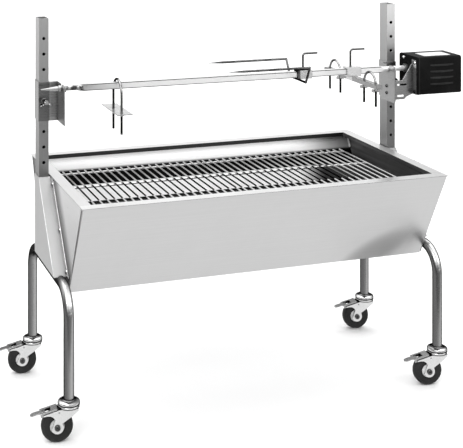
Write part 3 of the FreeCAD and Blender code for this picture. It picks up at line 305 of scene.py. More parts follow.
def rear_shade(n):
    """Rear panel, painted shade and reflection: a dark inner lip, a dark band under the grates,
    a darker right-hand end and a lighter inner face seen from before the front left corner; from elsewhere, painted
    shade deepening down the inner face."""
    p, f = n.xyz(), n.facing()
    inside = n.remap(f[1], -0.2, -0.5, 0.0, 1.0)
    lift = n.math("ADD", 1.0, n.math("MULTIPLY", inside, 0.26))
    lip = n.darken([inside, n.remap(p[2], 0.5445, 0.5465, 0.0, 1.0), n.remap(f[1], -0.92, -0.97, 0.0, 1.0)], 0.05)
    band = n.darken([inside, n.remap(p[2], 0.516, 0.508, 0.0, 1.0, smooth=True)], 0.006)
    right = n.darken([inside, n.remap(p[0], MID + 0.300, MID + 0.455, 0.0, 1.0, smooth=True)], 0.26)
    seen = n.math("MULTIPLY", n.math("MULTIPLY", n.math("MULTIPLY", lip, band), right), lift)
    plain = n.darken([inside, n.remap(p[2], 0.530, 0.400, 0.0, 1.0, smooth=True)], 0.30)
    return n.painted_by_view(seen, plain)


def rear_metal(n):
    """Rear panel: the inner face is bleached to a softer, less mirror-like finish."""
    f = n.facing()
    return n.remap(f[1], -0.2, -0.5, 1.0, 0.12)


def rear_glow(n):
    """Rear panel: a painted glow on the inner face under the lip, standing in for light thrown back by the tray, seen
    from before the front left corner.
    """
    p, f = n.xyz(), n.facing()
    inside = n.remap(f[1], -0.75, -0.85, 0.0, 1.0)
    sloped = n.remap(f[1], -0.95, -0.92, 0.0, 1.0)
    high = n.remap(p[2], 0.514, 0.532, 0.0, 0.42, smooth=True)
    left = n.remap(p[0], MID + 0.42, MID + 0.25, 0.0, 1.0, smooth=True)
    return n.painted_by_view(n.math("MULTIPLY", n.math("MULTIPLY", inside, sloped), n.math("MULTIPLY", high, left)), 0.0)


def hook_tone(n, level):
    """Painted dark reflection on chrome wire, with painted thin bright streaks of reflection."""
    streak = n.remap(n.noise(n.scaled(40, 40, 40), 1.0, 3.0), 0.40, 0.60, 0.6, 1.6)
    return n.math("MULTIPLY", streak, level)


def fork_shade(n):
    """Meat fork: painted dark reflection on the prongs, painted highlight on the collar."""
    p = n.xyz()
    collar = n.math("MULTIPLY", n.remap(p[0], MID + 0.190, MID + 0.194, 0.0, 1.0), n.remap(n.math("ABSOLUTE", p[1]), 0.014, 0.012, 0.0, 1.0))
    wire = hook_tone(n, 0.16)
    return n.math("ADD", wire, n.math("MULTIPLY", collar, 0.95))


def ubolt_shade(n):
    """U-bolts: painted highlight over the bend, painted shade on the far leg, and dark along the threads."""
    p = n.xyz()
    brace = n.remap(p[0], MID, MID + 0.02, 1.0, 0.0)
    foot = n.math("SUBTRACT", 0.757, n.math("MULTIPLY", brace, 0.040))
    over = n.math("SUBTRACT", p[2], foot)
    up = n.remap(over, 0.0, 0.004, 0.0, 1.0)
    far = n.darken([brace, n.remap(p[1], -0.005, 0.005, 0.0, 1.0)], 0.16)
    bright = n.remap(p[2], 0.770, 0.798, 0.30, 0.62)
    return n.math("ADD", n.math("MULTIPLY", n.math("MULTIPLY", up, bright), far), 0.02)


def bracket_leg_shade(n):
    """Leg bracket: painted highlight on the collar round the bar, the arms a little darker."""
    p = n.xyz()
    collar = n.remap(n.math("ABSOLUTE", p[1]), 0.017, 0.015, 0.0, 1.0)
    return n.math("ADD", 0.85, n.math("MULTIPLY", collar, 1.0))


def bracket_shade(n):
    """Side brackets: undersides in deep shade."""
    f = n.facing()
    return n.remap(f[2], -0.25, -0.45, 1.0, 0.03)


def wall_shade(n):
    """End walls, painted shade and reflection: dark streaked inner faces seen from before the front left corner,
    deepening painted shade down them from elsewhere; outside, darker low down and beside the bracket.
    """
    p, f = n.xyz(), n.facing()
    side = n.math("SIGN", n.math("SUBTRACT", p[0], MID))
    out = n.math("MULTIPLY", f[0], side)
    streak = n.remap(n.noise(n.scaled(60, 2, 60), 1.0, 3.0), 0.35, 0.65, 0.10, 0.24)
    facing_in = n.remap(out, -0.4, -0.7, 0.0, 1.0)
    inner = n.math("SUBTRACT", 1.0, n.math("MULTIPLY", facing_in, n.math("SUBTRACT", 1.0, streak)))
    inner = n.painted_by_view(inner, n.darken([facing_in, n.remap(p[2], 0.530, 0.400, 0.0, 1.0, smooth=True)], 0.30))
    outer = n.remap(out, 0.4, 0.7, 0.0, 1.0)
    low = n.darken([outer, n.remap(p[2], 0.54, 0.34, 0.0, 1.0)], 0.68)
    gap = n.math("ADD", p[1], n.math("MULTIPLY", n.math("SUBTRACT", 0.554, p[2]), 0.80))
    beside = n.darken([outer, n.remap(gap, -0.055, 0.010, 0.0, 1.0, smooth=True)], 0.50)
    return n.math("MULTIPLY", n.math("MULTIPLY", inner, low), beside)


def tray_shade(n):
    """Charcoal tray, painted reflection and shade: bright upper walls, dark low down and near the motor-side wall
    seen from before the front left corner; from elsewhere, painted shade deepening toward the bottom with a random
    mottle.
    """
    p = n.xyz()
    right = n.remap(p[0], MID + 0.285, MID + 0.375, 1.0, 0.05, smooth=True)
    low = n.remap(p[2], 0.4352, 0.4364, 0.008, 1.0, smooth=True)
    tray_mottle = n.remap(n.noise(n.co, 9.0, 5.0, 0.6), 0.35, 0.65, 0.75, 1.2)
    plain = n.math("MULTIPLY", n.remap(p[2], 0.470, 0.345, 0.50, 0.10, smooth=True), tray_mottle)
    return n.painted_by_view(n.math("MULTIPLY", right, low), plain)


def wire_shade(n):
    """Grate wires: painted dark reflection over the middle of the fire bed and on the front rail, seen from before
    the front left corner.
    """
    p = n.xyz()
    back = n.remap(p[1], 0.088, 0.080, 0.0, 1.0, smooth=True)
    front = n.remap(p[1], -0.052, -0.047, 0.0, 1.0, smooth=True)
    side = n.remap(p[0], MID + 0.36, MID + 0.29, 0.0, 1.0, smooth=True)
    wires = n.darken([back, front, side], 0.02)
    rail = n.math("MULTIPLY", n.remap(p[2], 0.5080, 0.5074, 0.0, 1.0), n.remap(p[1], -0.056, -0.060, 0.0, 1.0))
    return n.painted_by_view(n.math("MULTIPLY", wires, n.darken([rail], 0.08)), 1.0)


def post_shade(n):
    """Uprights, painted light and shade: a slow rise in tone toward the open top, lighter end faces,
    a painted highlight high on the right post's front, and painted shade inside, seen through the holes."""
    p, f = n.xyz(), n.facing()
    rise = n.remap(p[2], 0.55, 0.95, 0.66, 1.25)
    flank = n.math("ADD", 1.0, n.math("MULTIPLY", n.remap(n.math("ABSOLUTE", f[0]), 0.4, 0.8, 0.0, 1.0), 0.15))
    dx = n.math("ABSOLUTE", n.math("SUBTRACT", n.math("ABSOLUTE", n.math("SUBTRACT", p[0], MID)), 0.4965))
    dy = n.math("ABSOLUTE", n.math("SUBTRACT", p[1], 0.0629))
    bore = n.darken([n.remap(dx, 0.01165, 0.01150, 0.0, 1.0), n.remap(dy, 0.01960, 0.01940, 0.0, 1.0), n.remap(p[2], 0.952, 0.948, 0.0, 1.0)], 0.02)
    right = n.math("MULTIPLY", n.remap(p[0], MID, MID + 0.1, 0.0, 1.0), n.remap(p[2], 0.80, 0.93, 0.0, 1.0, smooth=True))
    front = n.remap(f[1], -0.4, -0.8, 0.0, 1.0)
    top = n.math("ADD", 1.0, n.math("MULTIPLY", n.math("MULTIPLY", right, front), 0.85))
    return n.math("MULTIPLY", n.math("MULTIPLY", rise, flank), n.math("MULTIPLY", bore, top))


def carriage_shade(n):
    """Height carriages: painted shade on the left one's front faces, a lighter web beside the sleeve, and a painted
    highlight on the fold line.
    """
    p, f = n.xyz(), n.facing()
    x = n.math("SUBTRACT", p[0], MID)
    left = n.remap(x, -0.30, -0.35, 0.0, 1.0)
    front = n.remap(f[1], -0.4, -0.8, 0.0, 1.0)
    sleeve = n.darken([left, front], 0.66)
    web = n.darken([left, front, n.remap(x, -0.4805, -0.4795, 0.0, 1.0)], 2.20)
    fold = n.math("MULTIPLY", n.math("MULTIPLY", left, front), n.remap(n.math("ABSOLUTE", n.math("ADD", x, 0.4812)), 0.0014, 0.0008, 0.0, 1.0))
    return n.math("ADD", n.math("MULTIPLY", sleeve, web), n.math("MULTIPLY", fold, 1.0))


def spit_shade(n):
    """Spit bar: painted shade toward its pointed end, lighter along the middle and on upward faces, with dark noise
    bands over the twisted part.
    """
    p = n.xyz()
    f = n.facing()
    end = n.remap(p[0], MID - 0.43, MID - 0.27, 0.42, 1.0, smooth=True)
    top = n.remap(f[2], 0.3, 0.8, 0.0, 0.35)
    end = n.math("MINIMUM", n.math("ADD", end, top), 1.0)
    twist_band = n.math("MULTIPLY", n.remap(p[0], MID - 0.452, MID - 0.447, 0.0, 1.0), n.remap(p[0], MID - 0.395, MID - 0.410, 0.0, 1.0))
    ripple = n.remap(n.noise(n.scaled(90, 60, 60, 0, 0.6, 0.4), 1.0, 2.0), 0.42, 0.58, 0.12, 1.0)
    k = n.math("SUBTRACT", 1.0, n.math("MULTIPLY", twist_band, n.math("SUBTRACT", 1.0, ripple)))
    # painted shade along the rolled corners of the square bar, darker than its flats
    dz = n.math("ABSOLUTE", n.math("SUBTRACT", p[2], 0.7834))
    corner = n.remap(n.math("MINIMUM", n.math("ABSOLUTE", p[1]), dz), 0.0060, 0.0068, 1.0, 0.02)
    return n.math("MULTIPLY", n.math("MULTIPLY", end, k), corner)


def leg_shade(n):
    """Legs: the left flank of each tube is in shade, the right flank lighter."""
    f = n.facing()
    side = n.remap(f[0], -0.75, 0.45, 0.42, 1.30, smooth=True)
    # upward faces, as on top of the bends, get a painted highlight
    return n.math("MULTIPLY", side, n.remap(f[2], 0.10, 0.55, 1.0, 2.3, smooth=True))


def zinc_shade(n):
    """Zinc parts, painted shade: dark gaps between the caster race tiers and round the foot of the leg, and over the
    lower motor housing screws; also darker near y = 6 mm from 705 to 745 mm up.
    """
    p = n.xyz()
    low = n.remap(p[2], 0.101, 0.099, 0.0, 1.0)
    plate = n.darken([n.remap(n.math("ABSOLUTE", n.math("SUBTRACT", p[1], 0.006)), 0.010, 0.009, 0.0, 1.0), n.remap(p[2], 0.745, 0.740, 0.0, 1.0), n.remap(p[2], 0.70, 0.705, 0.0, 1.0)], 0.10)
    seam = n.remap(n.math("ABSOLUTE", n.math("SUBTRACT", p[2], 0.0869)), 0.0022, 0.0014, 0.0, 1.0)
    under = n.remap(n.math("ABSOLUTE", n.math("SUBTRACT", p[2], 0.0800)), 0.0018, 0.0010, 0.0, 1.0)
    foot = n.remap(p[2], 0.0945, 0.0958, 0.0, 1.0)
    # painted shade over the lower motor housing screws
    lower_screw_shade = n.darken([n.remap(n.math("ABSOLUTE", n.math("SUBTRACT", p[2], 0.7265)), 0.007, 0.006, 0.0, 1.0), n.remap(p[0], MID + 0.505, MID + 0.510, 0.0, 1.0)], 0.02)
    k = n.math("MULTIPLY", n.darken([low, seam], 0.06), n.darken([low, under], 0.08))
    return n.math("MULTIPLY", n.math("MULTIPLY", k, n.math("MULTIPLY", lower_screw_shade, plate)), n.darken([low, foot], 0.22))


MAT = {
    "front": steel("satin_front", 0.82, 0.34, "X", 0.04, 0.16, -0.6, shade=front_shade, edge=0.0012),
    "rear": steel("satin_rear", 0.72, 0.36, "X", 0.04, 0.18, -0.35, shade=rear_shade, edge=0.0012, metal_mask=rear_metal, glow=rear_glow),
    "wall": steel("satin_wall", 0.70, 0.32, "Y", 0.05, 0.20, -0.45, shade=wall_shade, edge=0.0012, metallic=0.85),
    "bottom": steel("satin_bottom", 0.50, 0.34, "X", 0.06, 0.25, -0.2),
    "bracket": steel("satin_bracket", 0.46, 0.38, "Z", 0.05, 0.18, 0.95, edge=0.0014, metallic=0.65, gap=(0.007, 0.08), shade=bracket_shade),
    "post": steel("satin_post", 0.35, 0.34, "Z", 0.10, 0.25, 0.45, shade=post_shade, edge=0.0012, metallic=0.75),
    "leg": steel("satin_leg", 0.36, 0.14, "Z", 0.05, 0.16, 0.0, shade=leg_shade, metallic=0.85, rim=0.14, gap=(0.008, 0.08)),
    "carriage": steel("satin_carriage", 0.42, 0.28, "X", 0.07, 0.22, 0.65, shade=carriage_shade, edge=0.0010, gap=(0.010, 0.06)),
    "tray": steel("tray_steel", 0.95, 0.42, "X", 0.04, 0.25, 0.1, shade=tray_shade, metallic=0.20),
    "wire": steel("grate_chrome", 0.74, 0.18, "N", 0.05, 0.10, 0.0, shade=wire_shade),
    "zinc": steel("zinc_plate", 0.88, 0.18, "N", 0.06, 0.20, 0.10, shade=zinc_shade, edge=0.0005, rim=0.18, gap=(0.006, 0.04)),
    "axle": steel("axle_steel", 0.08, 0.28, "N", 0.08, 0.20, 0.75, edge=0.0005, gap=(0.004, 0.05)),
    "pedal": steel("pedal_zinc", 0.50, 0.24, "N", 0.08, 0.22, 0.35, edge=0.0005, rim=0.35, gap=(0.010, 0.03)),
    "chrome": steel("spit_chrome", 0.90, 0.22, "X", 0.05, 0.12, -1.2, shade=spit_shade, edge=0.0012, metallic=0.45, gap=(0.006, 0.05)),
    "plated": steel("plated_steel", 0.62, 0.24, "X", 0.05, 0.14, -1.2, edge=0.0012, metallic=0.80, gap=(0.008, 0.05)),
    "leg_plated": steel("leg_plated_steel", 0.44, 0.24, "Y", 0.05, 0.14, -1.2, edge=0.0014, metallic=0.70, gap=(0.004, 0.05), shade=bracket_leg_shade),
    "fork": steel("fork_chrome", 0.85, 0.14, "N", 0.05, 0.12, -1.0, edge=0.0012, rim=0.02, shade=fork_shade, gap=(0.003, 0.10), metallic=0.9),
    "arm": steel("arm_chrome", 0.16, 0.12, "N", 0.08, 0.12, 0.0, edge=0.0004, rim=0.01),
    "wing": steel("wing_zinc", 0.95, 0.12, "N", 0.10, 0.30, -0.6, edge=0.0008, rim=0.01),
    "hook": steel("hook_chrome", 0.80, 0.12, "N", 0.05, 0.12, 0.0, edge=0.0006, rim=0.01, shade=ubolt_shade),
    "thread": steel("thread_steel", 0.025, 0.32, "N", 0.10, 0.25, 0.12, edge=0.0002, rim=0.2),
    "gear": steel("gear_steel", 0.42, 0.35, "N", 0.12, 0.30, 0.20, edge=0.0003),
    "bead": steel("weld_bead", 0.50, 0.30, "N", 0.12, 0.30, 0.10, edge=0.0003),
    # near-white beads: painted highlights on fold edges and corners
    "hem_highlight": steel("rolled_hem_highlight", 0.95, 0.25, "N", 0.04, 0.10, 0.0, edge=0.0003, metallic=0.25),
    "plate": steel("blank_plate", 0.74, 0.45, "X", 0.04, 0.12, 0.0, metallic=0.15),
    "black": dark_polymer("motor_black", 0.006, 0.46, 0.25, 0.004, level=0.03),
    "black_rib": dark_polymer("motor_rib", 0.016, 0.46, 0.22, 0.010, edge=0.0005, level=0.10),
    "plastic": dark_polymer("black_plastic", 0.022, 0.33, 0.15, 0.02, edge=0.0006),
    "rubber": dark_polymer("tyre_rubber", 0.014, 0.55, 0.35, 0.012, scale=500.0, level=0.25),
    "hub": dark_polymer("hub_grey", 0.62, 0.42, 0.15, 0.10, edge=0.0006, scale=700.0),
    "gap_shade": dark_polymer("race_gap_shade_ring", 0.012, 0.5, 0.2, 0.0, edge=0.0003, level=0.2),
}


def look_of(node):
    if node in ("front_panel",):
        return "front"
    if node in ("rear_panel",):
        return "rear"
    if node.startswith("end_panel"):
        return "wall"
    if node == "bottom_panel":
        return "bottom"
    if node.startswith("side_bracket"):
        return "bracket"
    if node.startswith("upright"):
        return "post"
    if node.startswith("leg_frame"):
        return "leg"
    if node.startswith("carriage") or node == "motor_bracket":
        return "carriage"
    if node == "charcoal_tray":
        return "tray"
    if node.startswith("grate"):
        return "wire"
    if node in ("spit_rod", "spit_collars"):
        return "chrome"
    if node == "meat_fork":
        return "fork"
    if node in ("fork_screw", "leg_bracket_screw"):
        return "arm"
    if "wing_bolt" in node:
        return "wing"
    if node in ("brace_ubolt", "leg_ubolts"):
        return "hook"
    if node == "leg_bracket":
        return "leg_plated"
    if node == "brace_plate":
        return "plated"
    if node.endswith("_pedal"):
        return "pedal"
    if node.endswith("_axle"):
        return "axle"
    if node in ("motor_housing", "motor_end_plate"):
        return "black"
    if node in ("power_switch", "power_inlet"):
        return "plastic"
    if node in ("output_gear", "drive_pinion"):
        return "gear"
    if node.endswith("_tyre"):
        return "rubber"
    if node.endswith("_hub"):
        return "hub"
    return "zinc"


# ------------------------------------------------------- smoothing of CAD faces
def smooth_group():
    g = bpy.data.node_groups.new("cad_smooth", "GeometryNodeTree")
    g.interface.new_socket("Geometry", in_out="INPUT", socket_type="NodeSocketGeometry")
    g.interface.new_socket("Geometry", in_out="OUTPUT", socket_type="NodeSocketGeometry")
    i = g.nodes.new("NodeGroupInput")
    o = g.nodes.new("NodeGroupOutput")
    merge = g.nodes.new("GeometryNodeMergeByDistance")
    merge.inputs["Distance"].default_value = 2e-6
    face = g.nodes.new("GeometryNodeSetShadeSmooth")
    face.domain = "FACE"
    face.inputs["Shade Smooth"].default_value = True
    edge = g.nodes.new("GeometryNodeSetShadeSmooth")
    edge.domain = "EDGE"
    edge.inputs["Shade Smooth"].default_value = False
    angle = g.nodes.new("GeometryNodeInputMeshEdgeAngle")
    cmp = g.nodes.new("FunctionNodeCompare")
    cmp.data_type = "FLOAT"
    cmp.operation = "GREATER_THAN"
    cmp.inputs["B"].default_value = math.radians(28)
    g.links.new(angle.outputs["Unsigned Angle"], cmp.inputs["A"])
    g.links.new(cmp.outputs[0], edge.inputs["Selection"])
    g.links.new(i.outputs[0], merge.inputs["Geometry"])
    g.links.new(merge.outputs[0], face.inputs["Geometry"])
    g.links.new(face.outputs[0], edge.inputs["Geometry"])
    g.links.new(edge.outputs[0], o.inputs[0])
    return g


SMOOTH = smooth_group()

for name, o in NODES.items():
    o.data.materials.clear()
    o.data.materials.append(MAT[look_of(name)])
    m = o.modifiers.new("smooth", "NODES")
    m.node_group = SMOOTH


# ------------------------------------------------------------ mesh piece tools
def piece(name, verts, faces, look, body, smooth=True):
    me = bpy.data.meshes.new(name)
    me.from_pydata([tuple(v) for v in verts], [], faces)
    me.validate()
    me.update()
    me.materials.append(MAT[look])
    o = bpy.data.objects.new(name, me)
    bpy.context.scene.collection.objects.link(o)
    if smooth:
        m = o.modifiers.new("smooth", "NODES")
        m.node_group = SMOOTH
    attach(o, body)
    return o


def frame_at(point, direction):
    """Matrix with local Z along direction, at a point in trough millimetres."""
    z = Vector(direction).normalized()
    q = z.to_track_quat("Z", "Y")
    return Matrix.Translation(mm(*point)) @ q.to_matrix().to_4x4()


def lathe(profile, mat, seg=32):
    """Closed solid of revolution about local Z; profile is (r, z) in mm, r > 0."""
    v, f = [], []
    n = len(profile)
    for i in range(seg):
        a = 2 * math.pi * i / seg
        c, s = math.cos(a), math.sin(a)
        for r, z in profile:
            v.append(mat @ Vector((r * c / 1000, r * s / 1000, z / 1000)))
    for i in range(seg):
        j = (i + 1) % seg
        for k in range(n):
            l = (k + 1) % n
            f.append((i * n + k, j * n + k, j * n + l, i * n + l))
    return v, f


def join(parts):
    v, f = [], []
    for pv, pf in parts:
        base = len(v)
        v += pv
        f += [tuple(i + base for i in q) for q in pf]
    return v, f


def thread(point, direction, radius, length, pitch=1.25, depth=0.34, seg=20):
    """Helical ridge skin round a rod, closed at both ends onto the rod."""
    mat = frame_at(point, direction)
    steps = int(length / pitch * 4)
    v, f = [], []
    inner = radius - 0.25
    wave = (0.0, 0.6, 1.0, 0.6)
    for k in range(steps + 1):
        z = length * k / steps
        fade = min(1.0, min(k, steps - k) / 4)
        for i in range(seg):
            a = 2 * math.pi * i / seg
            ph = (k / 4 - i / seg) % 1.0 * 4
            w0, w1 = wave[int(ph) % 4], wave[(int(ph) + 1) % 4]
            h = w0 + (w1 - w0) * (ph - int(ph))
            r = radius - 0.05 + (depth + 0.05) * h * fade
            v.append(mat @ Vector((r * math.cos(a) / 1000, r * math.sin(a) / 1000, z / 1000)))
    for k in range(steps):
        for i in range(seg):
            j = (i + 1) % seg
            a, b = k * seg, (k + 1) * seg
            f.append((a + i, a + j, b + j, b + i))
    for end, z in ((0, 0.0), (steps, length)):
        ring = len(v)
        for i in range(seg):
            a = 2 * math.pi * i / seg
            v.append(mat @ Vector((inner * math.cos(a) / 1000, inner * math.sin(a) / 1000, z / 1000)))
        base = end * seg
        for i in range(seg):
            j = (i + 1) % seg
            q = (base + i, ring + i, ring + j, base + j)
            f.append(q if end == 0 else tuple(reversed(q)))
    first, last = (steps + 1) * seg, (steps + 2) * seg
    for i in range(seg):
        j = (i + 1) % seg
        f.append((first + i, last + i, last + j, first + j))
    return v, f


def bead(points, radius, step=1.1, seg=10, closed=False):
    """Stacked-dime weld bead swept along a path given in trough millimetres."""
    pts = [mm(*p) for p in points]
    if closed:
        pts.append(pts[0])
    line = []
    for a, b in zip(pts, pts[1:]):
        d = (b - a).length
        n = max(2, int(d * 1000 / (step / 3)))
        for k in range(n):
            line.append(a.lerp(b, k / n))
    if not closed:
        line.append(pts[-1])
    v, f = [], []
    m = len(line)
    for k, p in enumerate(line):
        q = line[(k + 1) % m] if closed else line[min(k + 1, m - 1)]
        o = line[k - 1] if (closed or k) else p
        t = (q - o).normalized()
        side = t.cross(Vector((0.31, 0.42, 0.85)))
        if side.length < 0.05:
            side = t.cross(Vector((1, 0, 0)))
        side.normalize()
        up = side.cross(t)
        ripple = 1.0 + 0.16 * math.sin(k * 2 * math.pi / 3.0) + 0.05 * math.sin(k * 0.71)
        fade = 1.0
        if not closed:
            fade = max(0.05, min(1.0, (min(k, m - 1 - k) + 0.2) / 3))
        for i in range(seg):
            a = 2 * math.pi * i / seg
            r = radius / 1000 * ripple * fade
            v.append(p + side * (r * math.cos(a)) + up * (r * math.sin(a)))
    rows = m if closed else m - 1
    for k in range(rows):
        a, b = k * seg, ((k + 1) % m) * seg
        for i in range(seg):
            j = (i + 1) % seg
            f.append((a + i, a + j, b + j, b + i))
    if not closed:
        f.append(tuple(range(seg - 1, -1, -1)))
        f.append(tuple((m - 1) * seg + i for i in range(seg)))
    return v, f


def blob(c, rx, ry, rz, seg=10, rings=6):
    """Squashed ball, in trough millimetres."""
    v = [mm(c[0], c[1], c[2] + rz)]
    for k in range(1, rings):
        t = math.pi * k / rings
        for i in range(seg):
            a = 2 * math.pi * i / seg
            v.append(mm(c[0] + rx * math.sin(t) * math.cos(a), c[1] + ry * math.sin(t) * math.sin(a), c[2] + rz * math.cos(t)))
    v.append(mm(c[0], c[1], c[2] - rz))
    f = []
    for i in range(seg):
        j = (i + 1) % seg
        f.append((0, 1 + i, 1 + j))
        f.append((len(v) - 1, 1 + (rings - 2) * seg + j, 1 + (rings - 2) * seg + i))
        for k in range(rings - 2):
            a, b = 1 + k * seg, 1 + (k + 1) * seg
            f.append((a + i, b + i, b + j, a + j))
    return v, f


def rounded_slab(x0, x1, y0, y1, z0, z1, r, seg=6, chamfer=0.3):
    """Plate lying flat with rounded corners and a chamfered top edge."""
    loop = []
    for cx, cy, a0 in ((x1 - r, y1 - r, 0), (x0 + r, y1 - r, 90), (x0 + r, y0 + r, 180), (x1 - r, y0 + r, 270)):
        for k in range(seg + 1):
            a = math.radians(a0 + 90 * k / seg)
            loop.append((cx, cy, r, a))
    v = []
    for off, z in ((0, z0), (0, z1 - chamfer), (chamfer, z1)):
        for cx, cy, rr, a in loop:
            v.append(mm(cx + (rr - off) * math.cos(a), cy + (rr - off) * math.sin(a), z))
    n = len(loop)
    f = []
    for s in range(2):
        for i in range(n):
            j = (i + 1) % n
            f.append((s * n + i, s * n + j, (s + 1) * n + j, (s + 1) * n + i))
    f.append(tuple(range(n - 1, -1, -1)))
    f.append(tuple(2 * n + i for i in range(n)))
    return v, f


# ------------------------------------------------------------------ details
# threads on the U-bolt legs, under their nuts and plates
legs = []
for y in (-35.5, 35.5):
    legs.append(thread((-314.6, y, 669.2), (0, 0, 1), 3.0, 50.0, depth=0.05))
v, f = join(legs)
piece("brace_ubolt_threads", v, f, "thread", "back_brace")


def rod_spots(node, z0, z1):
    """Centres of the vertical rods of a node, found from its own points."""
    pts = [w.co for w in NODES[node].data.vertices if z0 <= w.co.z * 1000 <= z1]
    spots = []
    for p in pts:
        for s in spots:
            if abs(s[0][0] - p.x) < 0.009 and abs(s[0][1] - p.y) < 0.009:
                s[1].append((p.x, p.y))
                break
        else:
            spots.append(((p.x, p.y), [(p.x, p.y)]))
    out = []
    for _, g in spots:
        xs, ys = [a for a, _ in g], [b for _, b in g]
        out.append((((min(xs) + max(xs)) / 2 - MID) * 1000, (min(ys) + max(ys)) / 2 * 1000))
    return sorted(set((round(x, 2), round(y, 2)) for x, y in out))


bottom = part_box("leg_ubolts")[0].z * 1000
spots = rod_spots("leg_ubolts", bottom - 0.1, bottom + 0.6)
v, f = join([thread((x, y, bottom + 0.5), (0, 0, 1), 3.0, 753.0 - bottom, depth=0.05) for x, y in spots])
piece("leg_ubolt_threads", v, f, "thread", "leg_bracket")

# nugget welds where each grate wire crosses its rails
for node, side in (("grate_left", -1), ("grate_right", 1)):
    parts = []
    for k in range(22):
        x = side * (8.0 + 20.5 * k)
        for y in (-224.6, -64.3, 89.3, 224.6):
            parts.append(blob((x, y, 506.6), 2.3, 2.9, 1.5, 8, 5))
    v, f = join(parts)
    piece(node + "_welds", v, f, "wire", node)

# louvre hoods over the motor housing vents
parts = []
for zc in (746.0, 763.0, 780.0, 797.0):
    n, m = 24, 6
    x0, x1 = 554.5, 627.5
    v = []
    for shell in (0, 1):
        for i in range(n + 1):
            t = i / n
            end = math.sin(math.pi * t) ** 0.35 if 0 < t < 1 else 0.0
            x = x0 + (x1 - x0) * t
            for k in range(m + 1):
                a = math.pi / 2 * k / m
                out = 1.7 * end * math.sin(a) - 0.6 * shell
                z = zc + 3.6 - 5.2 * (1 - math.cos(a)) * (0.4 + 0.6 * end)
                v.append(mm(x, -63.9 - max(out, -0.4), z - 0.25 * shell))
    w = (n + 1) * (m + 1)
    f = []
    for i in range(n):
        for k in range(m):
            a, b = i * (m + 1) + k, (i + 1) * (m + 1) + k
            f.append((a, a + 1, b + 1, b))
            f.append((w + a, w + b, w + b + 1, w + a + 1))
    for i in range(n):
        a, b = i * (m + 1), (i + 1) * (m + 1)
        f.append((a, b, w + b, w + a))
        f.append((a + m, w + a + m, w + b + m, b + m))
    for k in range(m):
        f.append((k, w + k, w + k + 1, k + 1))
        a = n * (m + 1) + k
        f.append((a, a + 1, w + a + 1, w + a))
    parts.append((v, f))
v, f = join(parts)
piece("motor_louvres", v, f, "black_rib", "right_carriage")

# blank rating plate on top of the motor, with four rivets
v, f = rounded_slab(548.0, 630.0, -46.0, 4.0, 820.7, 821.7, 3.0)
piece("motor_plate", v, f, "plate", "right_carriage", smooth=False)
parts = [blob((x, y, 821.7), 1.7, 1.7, 0.8, 14, 8) for x in (552.5, 625.5) for y in (-41.5, -0.5)]
v, f = join(parts)
piece("motor_plate_rivets", v, f, "zinc", "right_carriage")

# folded seam lip round the motor housing where it meets the end plate
loop = []
x = 521.6
for cy, cz, a0 in ((27.0, 814.0, 0), (-57.0, 814.0, 90), (-57.0, 726.0, 180), (27.0, 726.0, 270)):
    for k in range(7):
        t = math.radians(a0 + 90 * k / 6)
        loop.append((x, cy + 7.0 * math.cos(t), cz + 7.0 * math.sin(t)))
n = len(loop)
v = []
for dx, off in ((-0.9, -0.4), (-0.9, 0.45), (-0.5, 0.8), (0.5, 0.8), (0.9, 0.45), (0.9, -0.4)):
    for px, py, pz in loop:
        q = Vector((py + 15.0, pz - 770.0)).normalized() * off
        v.append(mm(px + dx, py + q.x, pz + q.y))
f = []
for s in range(6):
    t = (s + 1) % 6
    for i in range(n):
        j = (i + 1) % n
        f.append((s * n + i, s * n + j, t * n + j, t * n + i))
piece("motor_seam", v, f, "black_rib", "right_carriage")

# seam welds at the trough corners
for side, name in ((-1, "left"), (1, "right")):
    x = side * 478.2
    v, f = join([
        bead([(x, -253.5, 553.0), (x, -138.0, 325.0)], 1.1),
        bead([(x, 253.5, 553.0), (x, 138.0, 325.0)], 1.1),
    ])
    piece("trough_seam_" + name, v, f, "bead", "stand")

# rolled edges along the folds of the side brackets, near-white as a painted highlight along each fold
for side, name in ((-1, "left"), (1, "right")):
    x = side * 510.4
    xl = side * 478.8
    parts = []
    for a, b in (((x, 40.6, 553.4), (x, -119.2, 355.2)), ((xl, 24.6, 553.4), (xl, -135.4, 355.2))):
        parts.append(bead([a, b], 0.85, step=40.0, seg=8))
    v, f = join(parts)
    piece("bracket_hem_highlight_" + name, v, f, "hem_highlight", "stand")
    # bright bead in the rear corner of the trough, above the grate, painted near-white as the highlight along the
    # corner seam
    v, f = bead([(side * 474.2, 256.0, 544.5), (side * 474.2, 238.6, 512.5)], 2.6, seg=12)
    piece("corner_seam_highlight_" + name, v, f, "hem_highlight", "stand")

